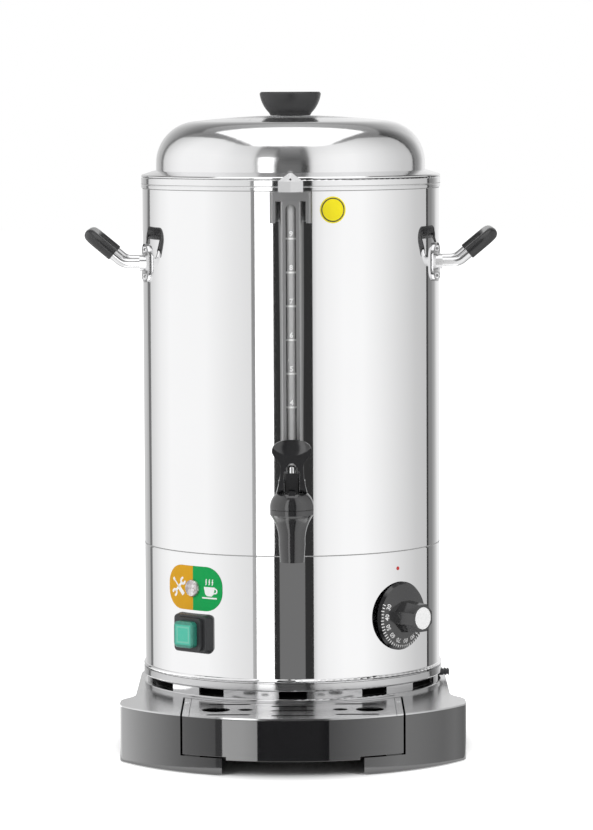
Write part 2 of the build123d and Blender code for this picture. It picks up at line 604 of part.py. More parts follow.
def thermostat_bulb():
    bulb = Cylinder(BULB_R, BULB_L, rotation=(0, 90, 0))
    return Pos(-BULB_L / 6, BULB_Y, bulb_z()) * bulb


def thermostat_face():
    """Radius of the thermostat's back face."""
    return SHELL_R - THERMOSTAT_BACK - THERMOSTAT_D


def thermostat_body():
    """Control behind the dial: box, two posts to the panel, and a neck that guides the spindle."""
    front = SHELL_R - THERMOSTAT_BACK
    case = RectangleRounded(THERMOSTAT_W, THERMOSTAT_W, THERMOSTAT_CORNER_R)
    body = prism(case, thermostat_face(), front)
    body += disc(NECK_R, front, SHELL_R + DIAL_OFF - GAP)
    posts = [Pos(side * POST_X, 0) * disc(POST_R, front, SHELL_R) for side in (1, -1)]
    place = panel(DIAL_ANGLE, BASE_Z + DIAL_UP)
    shape = place * (body - disc(SPINDLE_R + RUN, front - THERMOSTAT_D / 2, SHELL_R + PAST))
    for post in posts:
        shape += place * post & disc(SHELL_IN_R - SEAT, 0, RIM_Z)
    return shape


def thermostat_capillary():
    """Thin tube that joins the bulb to the thermostat's back."""
    a = radians(DIAL_ANGLE)
    face, z = thermostat_face(), BASE_Z + DIAL_UP + THERMOSTAT_W / 4
    bulb_end = BULB_L / 2 - BULB_L / 6
    swing = bulb_end + CAPILLARY_SWING
    route = [
        (face * sin(a), -face * cos(a), z),
        ((face - CAPILLARY_LEAD) * sin(a), -(face - CAPILLARY_LEAD) * cos(a), z),
        (swing, -BULB_Y, (z + bulb_z()) / 2 + CAPILLARY_RISE),
        (swing, BULB_Y, bulb_z()),
        (bulb_end, BULB_Y, bulb_z()),
    ]
    path = FilletPolyline(*route, radius=CAPILLARY_BEND_R)
    return sweep(Plane(origin=path @ 0, z_dir=path % 0) * Circle(CAPILLARY_R), path)


def terminal_block():
    z = PAN_Z + 2 * SHEET_T
    y = (BLOCK_Y - BLOCK_W / 2, BLOCK_Y + BLOCK_W / 2)
    body = block((-BLOCK_L / 2, BLOCK_L / 2), y, (z, z + BLOCK_H))
    for i in range(BLOCK_WAYS):
        x = (i - (BLOCK_WAYS - 1) / 2) * BLOCK_L / BLOCK_WAYS
        body -= Pos(x, BLOCK_Y) * disc(SPINDLE_R, z + BLOCK_H / 2, z + BLOCK_H + PAST)
        wire = (x - WIRE_W / 2, x + WIRE_W / 2)
        body -= block(wire, (0, 2 * BLOCK_Y), (z + WIRE_UP, z + WIRE_UP + WIRE_H))
    return body


def cable_gland():
    """Flat ribbed strain relief that grips the supply cord in the vent gap."""
    place = panel(GLAND_ANGLE, (VENT_Z + PAN_Z) / 2)
    inner, outer = SHELL_R - GLAND_INSIDE, SHELL_R + GLAND_OUTSIDE
    corner = 0.45 * GLAND_H
    body = prism(RectangleRounded(GLAND_W, GLAND_H, corner), inner, outer)
    neck = RectangleRounded(GLAND_W - 2 * GLAND_NECK, GLAND_H - 2 * GLAND_NECK, corner - GLAND_NECK)
    groove = Rectangle(GLAND_W + PAST, GLAND_H + PAST) - neck
    pitch = GLAND_OUTSIDE / (GLAND_RIBS + 1)
    for i in range(GLAND_RIBS):
        z = SHELL_R + 2 * FOOT_RING_LIP + (i + 0.5) * pitch
        body -= prism(groove, z, z + pitch / 2)
    hole = RectangleRounded(GLAND_HOLE_W, GLAND_HOLE_H, 0.45 * GLAND_HOLE_H)
    return place * (body - prism(hole, inner - PAST, outer + PAST))


# ---------------------------------------------------------------- switch, lamp and dial
def switch_place():
    return panel(SWITCH_ANGLE, BASE_Z + SWITCH_UP)


def switch_bezel():
    """Splash frame round the switch: a plate shaped to the drum with a raised collar."""
    plate = RectangleRounded(BEZEL_W, BEZEL_H, BEZEL_CORNER_R)
    collar = RectangleRounded(COLLAR_W, COLLAR_H, COLLAR_CORNER_R)
    hole = RectangleRounded(BOOT_W + 2 * RUN, BOOT_H + 2 * RUN, BOOT_CORNER_R)
    front = prism(plate, SHELL_R - PAST, SHELL_R)
    front += Pos(0, 0, SHELL_R) * extrude(plate, BEZEL_OUT, taper=BEZEL_LEAN)
    front = fillet(front.edges().group_by(Axis.Z)[-1], EDGE_R)
    front += prism(collar, SHELL_R, SHELL_R + COLLAR_OUT)
    front -= prism(hole, 0, SHELL_R + BOOT_OUT)
    return switch_place() * front - disc(SHELL_R + SEAT, BASE_Z, GROOVE_Z)


def switch_boot():
    """Soft clear cap over the rocker."""
    base = SHELL_R + BEZEL_OUT / 2
    body = prism(RectangleRounded(BOOT_W, BOOT_H, BOOT_CORNER_R), base, SHELL_R + BOOT_OUT)
    body = fillet(body.edges().group_by(Axis.Z)[-1], EDGE_R)
    inner = RectangleRounded(BOOT_W - 2 * BOOT_WALL, BOOT_H - 2 * BOOT_WALL, BOOT_CORNER_R - BOOT_WALL)
    return switch_place() * (body - prism(inner, base - 1, SHELL_R + BOOT_OUT - BOOT_WALL))


def switch_rocker():
    """Rocker with a shallow hollow face, tipped to its resting side about an upright pin."""
    half, rise = ROCKER_W / 2, ROCKER_RISE
    section = outline((-half, -ROCKER_DEEP), (half, -ROCKER_DEEP), (half, rise),
                      (0, rise - ROCKER_HOLLOW), (-half, rise))
    body = extrude(section, ROCKER_H / 2, both=True)
    body = fillet(body.edges().filter_by(Axis.Z), EDGE_R / 2)
    body -= Cylinder(PIN_R + RUN, 2 * ROCKER_H)
    upright = Pos(0, 0, ROCKER_PIVOT) * Rot(0, -ROCKER_TILT, 0) * Rot(90, 0, 0)
    return switch_place() * upright * body


def switch_body():
    """Switch case behind the panel, with the rocker's pin across its mouth."""
    top = SHELL_R + BEZEL_OUT / 2 - SEAT
    back = SHELL_R - SWITCH_DEEP
    w, h = BOOT_W - BOOT_WALL, BOOT_H - BOOT_WALL
    case = prism(RectangleRounded(w, h, BOOT_CORNER_R), back, top)
    half_mouth = ROCKER_W / 2 + SWITCH_MOUTH_SPACE
    case -= block((-half_mouth, half_mouth), (-ROCKER_H / 2 - GAP, ROCKER_H / 2 + GAP),
                  (ROCKER_PIVOT - ROCKER_DEEP - SWITCH_MOUTH_SPACE, SHELL_R + PAST))
    case += Pos(0, 0, ROCKER_PIVOT) * Cylinder(PIN_R, (ROCKER_H + h) / 2, rotation=(90, 0, 0))
    for x, y in SWITCH_BLADES:
        case += blade(x, y, back)
    return switch_place() * case


def label_plate():
    """Thin printed plate on the drum, round ended, with a hole for the lamp."""
    place = panel(LAMP_ANGLE, BASE_Z + LAMP_UP)
    flat = place * prism(RectangleRounded(LABEL_W, LABEL_H, LABEL_CORNER_R), SHELL_R / 2, 2 * SHELL_R)
    skin = tube(SHELL_R + LABEL_T, SHELL_R + SEAT, BASE_Z, GROOVE_Z)
    return skin & flat - place * disc(LAMP_R + GAP, 0, 2 * SHELL_R)


def lamp_lens():
    place = panel(LAMP_ANGLE, BASE_Z + LAMP_UP)
    base = SHELL_R + LABEL_T + SEAT
    lens = disc(LENS_R, base, SHELL_R + LENS_OUT)
    return place * fillet(lens.edges().group_by(Axis.Z)[-1], LENS_OUT / 2)


def lamp_body():
    place = panel(LAMP_ANGLE, BASE_Z + LAMP_UP)
    back = SHELL_R - LAMP_DEEP
    body = disc(LAMP_R, back, SHELL_R + LABEL_T)
    nut_top = SHELL_IN_R - LAMP_NUT_T / 3
    body += prism(RegularPolygon(LAMP_R * 1.6, 6), nut_top - LAMP_NUT_T, nut_top)
    for x in (-LAMP_BLADE_X, LAMP_BLADE_X):
        body += blade(x, 0, back)
    return place * body


def dial_levels():
    """Radii along the dial's axis: back, rim, foot of the hub, tip of the hub."""
    back = SHELL_R + DIAL_OFF
    return back, back + DIAL_RIM_T, back + DIAL_RIM_T + DIAL_CONE, SHELL_R + HUB_OUT


def dial_knob():
    back, rim, foot, tip = dial_levels()
    skirt = spun(outline((0, back), (DIAL_R, back), (DIAL_FACE_R, rim), (HUB_ACROSS / 2, foot), (0, foot)))
    skirt -= disc(DIAL_R - DIAL_LIP, 0, back + DIAL_RIM_T / 2) - disc(NECK_R * 1.6, 0, foot)
    lean = degrees(atan2((HUB_ACROSS - HUB_TIP_ACROSS) / 2, tip - rim))
    hub = RegularPolygon(HUB_ACROSS / 2, DIAL_SIDES, major_radius=False, rotation=180 / DIAL_SIDES)
    knob = skirt + Pos(0, 0, rim) * extrude(hub, tip - rim, taper=lean)
    knob -= disc(DIAL_CAP_R + RUN, tip - DIAL_CAP_T / 2, tip + PAST)
    return panel(DIAL_ANGLE, BASE_Z + DIAL_UP) * (knob - disc(SPINDLE_R + RUN, 0, tip - HUB_ACROSS / 4))


def dial_cap():
    tip = dial_levels()[-1]
    cap = disc(DIAL_CAP_R, tip - DIAL_CAP_T / 2, tip + DIAL_CAP_T / 2)
    return panel(DIAL_ANGLE, BASE_Z + DIAL_UP) * fillet(cap.edges().group_by(Axis.Z)[-1], 0.3)


def dial_spindle():
    end = dial_levels()[-1] - HUB_ACROSS / 4
    start = SHELL_R - THERMOSTAT_BACK - THERMOSTAT_D / 2 + GAP
    return panel(DIAL_ANGLE, BASE_Z + DIAL_UP) * disc(SPINDLE_R, start, end)


# ---------------------------------------------------------------- tap
def tap_body():
    """Spout, valve chamber, threaded neck, shank to the tank and socket for the gauge glass."""
    waist = (THROAT_R, SHANK_Z + THROAT_UP)
    collar_top = COLLAR_Z + COLLAR_T
    edge = Polyline((SPOUT_TOP_R, SPOUT_Z + SPOUT_STRAIGHT), (SPOUT_R, SPOUT_Z), (0, SPOUT_Z),
                    (0, collar_top), (COLLAR_R, collar_top), (COLLAR_R, COLLAR_Z))
    edge += ThreePointArc((SPOUT_TOP_R, SPOUT_Z + SPOUT_STRAIGHT), waist, (COLLAR_R, COLLAR_Z))
    body = Pos(0, TAP_Y) * spun(make_face(edge))
    body += Pos(0, TAP_Y) * disc(NECK_OUT_R, COLLAR_Z, collar_top + NECK_H)
    inside_end = TANK_R - WASHER_T - SHANK_NUT_T - SHANK_PAST_NUT
    flange = SHELL_R + WASHER_T
    body += panel(0, SHANK_Z) * disc(SHANK_R, inside_end, -TAP_Y)
    body += panel(0, SHANK_Z) * disc(WASHER_R, flange, flange + SHANK_FLANGE_T)
    body += Pos(0, GAUGE_Y) * disc(SOCKET_R, SHANK_Z, SOCKET_TOP)
    chamber = outline((0, 0), (SPOUT_BORE_R, 0), (SPOUT_BORE_R, SHANK_Z - SEAT_BELOW),
                      (CHAMBER_R, SHANK_Z + SEAT_ABOVE), (CHAMBER_R, RIM_Z), (0, RIM_Z))
    body -= Pos(0, TAP_Y) * spun(chamber)
    body -= panel(0, SHANK_Z) * disc(SHANK_BORE_R, 0, -TAP_Y)
    body -= Pos(0, GAUGE_Y) * disc(SOCKET_WAY_R, SHANK_Z, SOCKET_TOP)
    return body - Pos(0, GAUGE_Y) * disc(GLASS_R + SEAL_T + RUN, SHANK_Z + SHANK_R / 2, SOCKET_TOP + PAST)


def tap_bonnet():
    shoulder = (BONNET_SHOULDER_R, BONNET_Z + BONNET_SHOULDER_UP)
    edge = Polyline((BONNET_TOP_R, BONNET_TOP), (0, BONNET_TOP), (0, BONNET_Z), (COLLAR_R, BONNET_Z))
    edge += ThreePointArc((COLLAR_R, BONNET_Z), shoulder, (BONNET_TOP_R, BONNET_TOP))
    bonnet = spun(make_face(edge)) + front_lug()
    bonnet -= disc(NECK_OUT_R + RUN, 0, BONNET_Z + NECK_H + GAP)
    bonnet -= disc(CHAMBER_R, 0, BONNET_TOP - BONNET_ROOF_T)
    return Pos(0, TAP_Y) * (bonnet - disc(STEM_R + RUN, 0, RIM_Z))


def front_lug():
    """Small stop that stands up at the front of the bonnet."""
    front = -BONNET_TOP_R - LUG_T / 3
    return block((-LUG_W / 2, LUG_W / 2), (front, front + LUG_T),
                 (BONNET_Z + BONNET_SHOULDER_UP / 2, BONNET_TOP + LUG_RISE))


def seat_cup():
    """Soft cone that closes the outlet."""
    low, high = cup_z(), SHANK_Z + SEAT_ABOVE + SEAT
    small, wide = SPOUT_BORE_R - CUP_CONE_OFF, CHAMBER_R - CUP_CONE_OFF
    cup = outline((0, low), (small, low), (wide, high), (wide, low + CUP_H - CUP_SHOULDER),
                  (CUP_TOP_R, low + CUP_H), (0, low + CUP_H))
    return Pos(0, TAP_Y) * (spun(cup) - disc(STEM_R + RUN, low + STEM_FOOT_UP, RIM_Z))


def cup_z():
    """Level of the seat cup's small end."""
    return SHANK_Z - SEAT_BELOW + SEAT


def stem_block_z():
    return BONNET_TOP + STEM_BLOCK_UP


def tap_stem():
    low, top = cup_z() + STEM_FOOT_UP, stem_block_z() + STEM_BLOCK_H
    stem = disc(STEM_R, low, top) + disc(STEM_TIP_R, top, top + STEM_TIP_H)
    stem = fillet(stem.edges().group_by(Axis.Z)[-1], STEM_TIP_R * 0.7)
    stem -= Pos(0, 0, PIN_Z) * Cylinder(PIN_R + RUN, PIN_L, rotation=(0, 90, 0))
    return Pos(0, TAP_Y) * stem


def stem_block():
    """Plastic block clamped round the stem between the lever's arms."""
    z = stem_block_z()
    body = block((-STEM_BLOCK_W / 2, STEM_BLOCK_W / 2), (-STEM_BLOCK_D / 2, STEM_BLOCK_D / 2),
                 (z, z + STEM_BLOCK_H))
    body = fillet(body.edges().filter_by(Axis.Z), EDGE_R)
    body -= disc(STEM_R + RUN, 0, RIM_Z)
    body -= Pos(0, 0, PIN_Z) * Cylinder(PIN_R + RUN, 2 * PIN_L, rotation=(0, 90, 0))
    return Pos(0, TAP_Y) * body


def lever_pin():
    pin = Cylinder(PIN_R, PIN_L, rotation=(0, 90, 0))
    return Pos(0, TAP_Y, PIN_Z) * pin


def tap_spring():
    bottom = cup_z() + CUP_H + SPRING_WIRE_R
    top = BONNET_TOP - BONNET_ROOF_T - SPRING_WIRE_R - SEAT
    helix = Helix((top - bottom) / SPRING_TURNS, top - bottom, SPRING_R, center=(0, 0, bottom))
    wire = sweep(Plane(origin=helix @ 0, z_dir=helix % 0) * Circle(SPRING_WIRE_R), helix, is_frenet=True)
    return Pos(0, TAP_Y) * wire


def cam_edge():
    """Foot of the lever, about its pin: an involute, so the stem rises evenly with the angle."""
    rise = CAM_LIFT / radians(LEVER_THROW)
    points = []
    for step in range(CAM_POINTS):
        a = radians(LEVER_THROW) * step / (CAM_POINTS - 1)
        reach = PIN_UP - GAP + rise * a
        points.append((-reach * sin(a) - rise * cos(a), -reach * cos(a) + rise * sin(a)))
    return points


def lever_top():
    """Height of the lever's tip above its pin."""
    return LEVER_H - PIN_UP + GAP


def lever_side():
    """Side view of the lever about its pin: the front is negative, up is positive."""
    cam = cam_edge()
    foot, top = cam[0][1], lever_top() + PAST
    tip_front, tip_back = -LEVER_TIP_LEAN, LEVER_TIP_T - LEVER_TIP_LEAN
    edge = Line((LEVER_BACK, foot), cam[0]) + Spline(*cam)
    edge += Spline(cam[-1], (-LEVER_BACK, LEVER_WINDOW_UP / 2), (tip_front, top))
    edge += Line((tip_front, top), (tip_back, top))
    edge += Spline((tip_back, top), (LEVER_BACK - 1, LEVER_WINDOW_UP / 2), (LEVER_BACK, 0))
    edge += Line((LEVER_BACK, 0), (LEVER_BACK, foot))
    return make_face(edge)


def block_reach():
    """How far the stem's block reaches from the pin, at its upper edges."""
    return sqrt((stem_block_z() + STEM_BLOCK_H - PIN_Z) ** 2 + (STEM_BLOCK_D / 2) ** 2)


def lever_dish():
    """Long oval hollow in the front of the paddle."""
    z = lever_top() - LEVER_WIDEST_DOWN
    level = lever_side() & Pos(0, z) * Rectangle(2 * LEVER_H, GAP)
    lean = degrees(atan2(LEVER_TIP_LEAN - LEVER_BACK, lever_top() + PAST - LEVER_WINDOW_UP / 2))
    oval = Ellipse(LEVER_DISH_HALF, LEVER_DISH_R)
    half_oval = oval & Pos(0, LEVER_DISH_R) * Rectangle(4 * LEVER_DISH_HALF, 2 * LEVER_DISH_R)
    hollow = Pos(0, LEVER_DISH_DEEP - LEVER_DISH_R, 0) * revolve(half_oval, Axis.X)
    return Pos(0, level.bounding_box().min.X, z) * Rot(-lean, 0, 0) * hollow


def lever_front():
    """Front view of the lever about its pin: paddle, neck and two arms."""
    top, foot = lever_top(), -PIN_UP - PAST
    right = Spline((0, top), (LEVER_HALF, top - LEVER_WIDEST_DOWN), (LEVER_NECK_HALF, top - LEVER_NECK_DOWN),
                   (LEVER_FOOT_HALF, foot), tangents=[(1, 0), (0, -1), (0, -1), (0.2, -1)])
    half_face = make_face([right, Line((LEVER_FOOT_HALF, foot), (0, foot)), Line((0, foot), (0, top))])
    tip_way = Circle(LEVER_TIP_WAY_HALF)
    tip_way += Pos(0, -LEVER_WINDOW_UP / 2) * Rectangle(2 * LEVER_TIP_WAY_HALF, LEVER_WINDOW_UP)
    block_way = Rectangle(STEM_BLOCK_W + 2 * GAP, LEVER_H)
    window = Pos(0, LEVER_WINDOW_UP - LEVER_TIP_WAY_HALF) * tip_way
    window += Pos(0, block_reach() + GAP - LEVER_H / 2) * block_way
    return half_face + mirrored(half_face) - window


def tap_lever():
    front = extrude(Plane.XZ * lever_front(), LEVER_H, both=True)
    side = extrude(Plane.YZ * lever_side(), LEVER_H, both=True)
    lever = front & side
    lever -= lever_dish()
    lever -= Cylinder(PIN_R + RUN, 2 * PIN_L, rotation=(0, 90, 0))
    return Pos(0, TAP_Y, PIN_Z) * lever


def shank_washers():
    """Soft washers on the shank: one outside the drum, one inside the tank."""
    outer = panel(0, SHANK_Z) * tube(WASHER_R, SHANK_R + RUN, SHELL_R - PAST, SHELL_R + WASHER_T)
    outer -= disc(SHELL_R + SEAT, 0, RIM_Z)
    inner = panel(0, SHANK_Z) * tube(WASHER_R, SHANK_R + RUN, TANK_R - WASHER_T, TANK_OUT_R)
    return group([outer, inner & disc(TANK_R - SEAT, 0, RIM_Z)])


def shank_nut():
    nut = RegularPolygon(SHANK_NUT_ACROSS / 2, 6, major_radius=False) - Circle(SHANK_R + RUN)
    top = TANK_R - WASHER_T - SEAT
    return panel(0, SHANK_Z) * prism(nut, top - SHANK_NUT_T, top)


# ---------------------------------------------------------------- level gauge
def guard_plan(inset, leg):
    """Flat front with rounded corners, and straight legs that run back."""
    half, front = GUARD_HALF - inset, GUARD_FRONT - inset
    plan = Pos(0, (leg - front) / 2) * Rectangle(2 * half, front + leg)
    return fillet(plan.vertices().group_by(Axis.Y)[0], GUARD_CORNER_R - inset)


def gauge_guard():
    """Polished channel in front of the gauge glass, with a long slot to read it through."""
    low, high = SOCKET_TOP + SEAT, BRACKET_TOP - BRACKET_T - SEAT
    channel = guard_plan(0, GUARD_LEG) - guard_plan(GUARD_T, GUARD_LEG + PAST)
    half = GUARD_SLOT_W / 2
    arch_z = RIM_Z - GUARD_SLOT_TOP - half
    slot = block((-half, half), (-2 * GUARD_FRONT, 0), (low + GUARD_FOOT, arch_z))
    slot += Pos(0, -GUARD_FRONT, arch_z) * Cylinder(half, 2 * GUARD_FRONT, rotation=(90, 0, 0))
    return Pos(0, GAUGE_Y) * (prism(channel, low, high) - slot)


def gauge_glass():
    low, high = SHANK_Z + SHANK_R / 2 + SEAT, BRACKET_TOP - BRACKET_T - END_GAP
    return Pos(0, GAUGE_Y) * tube(GLASS_R, GLASS_R - GLASS_T, low, high)


def gauge_seals():
    ring = GLASS_R + SEAL_T
    feet = (SOCKET_TOP - END_GAP - SEAL_H, BRACKET_TOP - STUB_L + END_GAP)
    return group([Pos(0, GAUGE_Y) * tube(ring, GLASS_R + RUN, z, z + SEAL_H) for z in feet])


def gauge_bracket():
    """Folded bracket that holds the top of the gauge to the drum."""
    front = GAUGE_Y - GUARD_FRONT - BRACKET_FRONT
    low = BRACKET_TOP - BRACKET_H
    t = BRACKET_T
    body = block((-BRACKET_HALF, BRACKET_HALF), (front, -SHELL_R + PAST), (low, BRACKET_TOP))
    body = fillet(body.edges().filter_by(Axis.Z).group_by(Axis.Y)[0], 2 * t)
    body -= block((t - BRACKET_HALF, BRACKET_HALF - t), (front + t, 0), (low - PAST, BRACKET_TOP - t))
    body -= block((-BRACKET_WINDOW_HALF, BRACKET_WINDOW_HALF), (front - PAST, GAUGE_Y),
                  (low - PAST, BRACKET_TOP - BRACKET_BAND))
    body -= Pos(0, GAUGE_Y) * disc(STUB_R + RUN, low, RIM_TOP)
    return body - disc(SHELL_R + SEAT, low - PAST, RIM_TOP)


def gauge_nut():
    """Hexagonal cap nut with a small vent in its pointed top."""
    hexagon = RegularPolygon(NUT_ACROSS / 2, 6, major_radius=False, rotation=30)
    cone_z = BRACKET_TOP + NUT_H
    lean = degrees(atan2(NUT_ACROSS / 2 - NUT_TIP_R, NUT_CONE_H))
    nut = prism(hexagon, BRACKET_TOP, cone_z) + Pos(0, 0, cone_z) * extrude(hexagon, NUT_CONE_H, taper=lean)
    nut += disc(STUB_R, BRACKET_TOP - STUB_L, BRACKET_TOP)
    nut -= disc(STUB_BORE_R, BRACKET_TOP - STUB_L - PAST, BRACKET_TOP)
    nut -= disc(VENT_HOLE_R, BRACKET_TOP - PAST, cone_z + NUT_CONE_H / 4)
    vent = Cylinder(VENT_HOLE_R, NUT_ACROSS, rotation=(90, 0, 0))
    return Pos(0, GAUGE_Y) * (nut - Pos(0, -NUT_ACROSS / 2, cone_z + NUT_CONE_H / 4) * vent)


# ---------------------------------------------------------------- handles
def leg_x():
    """Where a leg's centre line meets the drum."""
    return sqrt(SHELL_R ** 2 - HANDLE_HALF ** 2)


def flange_angle():
    return 90 - degrees(asin(HANDLE_HALF / SHELL_R))


def handle_points():
    """Right handle's centre line, from the front leg's root to its sloping end."""
    bend = (SHELL_R + ROD_BEND_OUT, HANDLE_Z)
    tip = (SHELL_R + HANDLE_REACH, HANDLE_Z + HANDLE_RISE)
    return (leg_x() - PAST, HANDLE_Z), bend, tip


def loop(points):
    """The centre line of the front leg, with the same again for the rear leg."""
    front = [(x, -HANDLE_HALF, z) for x, z in points]
    return front + [(x, -y, z) for x, y, z in reversed(front)]


def rod_solid(r):
    bends = [ROD_BEND_R, GRIP_CORNER_R, GRIP_CORNER_R, ROD_BEND_R]
    path = FilletPolyline(*loop(handle_points()), radius=bends)
    solid = sweep(Plane(origin=path @ 0, z_dir=path % 0) * Circle(r), path)
    return solid - disc(SHELL_R + SEAT, BASE_Z, RIM_Z)


def handle_rod():
    return rod_solid(ROD_R)


def handle_grip():
    _, bend, tip = handle_points()
    start = [b + GRIP_START * (t - b) for b, t in zip(bend, tip)]
    path = FilletPolyline(*loop([start, tip]), radius=GRIP_CORNER_R)
    grip = sweep(Plane(origin=path @ 0, z_dir=path % 0) * Circle(GRIP_R), path)
    return grip - rod_solid(ROD_R + RUN)


def handle_flanges():
    """Two curved plates on the drum, each with a boss round its leg."""
    plates = []
    for side in (1, -1):
        place = panel(90 - side * (90 - flange_angle()), HANDLE_Z)
        face = RectangleRounded(FLANGE_W, FLANGE_H, 0.45 * FLANGE_W)
        plate = place * prism(face, SHELL_R - PAST, SHELL_R + PAST)
        plate = plate & tube(SHELL_R + FLANGE_T, SHELL_R + SEAT, RIM_Z / 2, RIM_Z)
        boss = Cylinder(FLANGE_BOSS_R, PAST + FLANGE_BOSS_OUT, rotation=(0, 90, 0))
        boss = Pos(leg_x() + FLANGE_BOSS_OUT / 2 - PAST / 2, -side * HANDLE_HALF, HANDLE_Z) * boss
        plates.append(plate + (boss - disc(SHELL_R + SEAT, 0, RIM_Z)))
    tunnel = rod_solid(ROD_R + RUN)
    holes = [spot * disc(SCREW_R + RUN, SHELL_R - PAST, SHELL_R + 2 * PAST) for spot in right_screw_spots()]
    result = []
    for plate in plates:
        plate -= tunnel
        for hole in holes:
            plate -= hole
        result.append(plate)
    return group(result)


def right_screw_spots():
    spots = []
    for side in (1, -1):
        for up in (SCREW_SPREAD, -SCREW_SPREAD):
            spots.append(panel(90 - side * (90 - flange_angle()), HANDLE_Z + up))
    return spots


def screw_spots():
    """All eight screw places, on both sides of the drum."""
    left = []
    for side in (1, -1):
        for up in (SCREW_SPREAD, -SCREW_SPREAD):
            left.append(panel(-90 + side * (90 - flange_angle()), HANDLE_Z + up))
    return right_screw_spots() + left


def handle_screws():
    """Cross-slotted screws that hold the flanges to the drum."""
    under = SHELL_R + FLANGE_T + SEAT
    top, half_slot = under + SCREW_HEAD_T, SCREW_SLOT_W / 2
    screw = disc(SCREW_R, under - SCREW_L, under) + disc(SCREW_HEAD_R, under, top)
    screw = fillet(screw.edges().group_by(Axis.Z)[-1], 0.6 * SCREW_HEAD_T)
    slot = block((-SCREW_HEAD_R, SCREW_HEAD_R), (-half_slot, half_slot), (top - SCREW_SLOT_DEEP, top + PAST))
    slot += Rot(0, 0, 90) * slot
    return group([spot * (screw - slot) for spot in right_screw_spots()])


# ---------------------------------------------------------------- lid
def dome(inset, base):
    """Solid under the lid's outside: upright wall, round shoulder, shallow crown."""
    wall_r = TANK_R - LID_PLAY
    shoulder_z, top_z = RIM_TOP + LID_SHOULDER_UP, RIM_TOP + LID_TOP_UP
    sx = wall_r - LID_SHOULDER_R
    rise = top_z - shoulder_z
    crown_r = (sx ** 2 + rise ** 2 - LID_SHOULDER_R ** 2) / (2 * (rise - LID_SHOULDER_R))
    crown_z = top_z - crown_r
    lean = atan2(sx, shoulder_z - crown_z)
    turn = (lean + pi / 2) / 2
    r, cr, wall = LID_SHOULDER_R - inset, crown_r - inset, wall_r - inset
    meet = (sx + r * sin(lean), shoulder_z + r * cos(lean))
    shoulder_mid = (sx + r * sin(turn), shoulder_z + r * cos(turn))
    crown_mid = (cr * sin(lean / 2), crown_z + cr * cos(lean / 2))
    edge = Polyline((0, crown_z + cr), (0, base), (wall, base), (wall, shoulder_z))
    edge += ThreePointArc((wall, shoulder_z), shoulder_mid, meet)
    edge += ThreePointArc(meet, crown_mid, (0, crown_z + cr))
    return spun(make_face(edge))


def lid_shell():
    """Spun dome whose wall drops into the tank, with a flange that rests over the rim."""
    base = RIM_TOP - LID_WALL_DEPTH
    wall_r = TANK_R - LID_PLAY
    lid = dome(0, base) - dome(SHEET_T, base - PAST)
    high, t = RIM_TOP + LID_FLANGE_UP, SHEET_T
    inner, start, outer = wall_r - t / 2, wall_r + LID_FLANGE_TOP_W, RIM_R
    edge, nose = high - LID_FLANGE_DROP, LID_FLANGE_NOSE
    flange = outline((inner, high + t / 2), (start, high), (outer - nose, edge), (outer, edge - nose),
                     (outer, RIM_TOP + GAP), (outer - t, RIM_TOP + GAP), (outer - t, edge - t),
                     (start, high - t), (inner, high - t))
    lid += spun(flange)
    lid -= disc(KNOB_BORE_R + RUN, RIM_TOP, RIM_TOP + LID_TOP_UP + PAST)
    for i in range(STEAM_HOLES):
        a = radians(90 + 360 * i / STEAM_HOLES)
        lid -= Pos(STEAM_RING_R * sin(a), STEAM_RING_R * cos(a)) * disc(STEAM_HOLE_R, RIM_TOP, 2 * RIM_TOP)
    return lid


def knob_z():
    return RIM_TOP + LID_TOP_UP + SEAT


def lid_knob():
    """Moulded knob: waisted neck, wide grip and a shallow dish on top."""
    z = knob_z()
    top, dish = z + KNOB_H, z + KNOB_H - KNOB_DISH_DEEP
    foot = (KNOB_NECK_R + KNOB_FOOT_OUT, z + KNOB_FOOT_H)
    waist = (KNOB_NECK_R + KNOB_WAIST_OUT, z + KNOB_WAIST_UP)
    wide = (KNOB_WIDE_R, z + KNOB_WIDE_UP)
    rim = (KNOB_WIDE_R - KNOB_EDGE_IN, top - KNOB_EDGE_DOWN)
    edge = Polyline((KNOB_TOP_R, top), (KNOB_DISH_R, top), (KNOB_DISH_R - KNOB_DISH_DEEP, dish),
                    (0, dish), (0, z), (KNOB_NECK_R, z), foot)
    edge += ThreePointArc(foot, waist, wide) + ThreePointArc(wide, rim, (KNOB_TOP_R, top))
    return spun(make_face(edge)) - disc(KNOB_BORE_R + RUN, z - PAST, z + KNOB_BORE_DEEP)


def knob_screw():
    """Screw and washer that hold the knob from inside the lid."""
    under = RIM_TOP + LID_TOP_UP - SHEET_T - SEAT
    washer = under - KNOB_WASHER_T
    screw = disc(KNOB_BORE_R, washer, knob_z() + KNOB_BORE_DEEP - END_GAP)
    screw += disc(KNOB_WASHER_R, washer, under)
    return screw + disc(KNOB_SCREW_HEAD_R, washer - KNOB_SCREW_HEAD_T, washer)


# ---------------------------------------------------------------- the whole part
def save(name, shape):
    export_step(Pos(0, AXIS_Y, 0) * shape, f"parts/{name}.step")


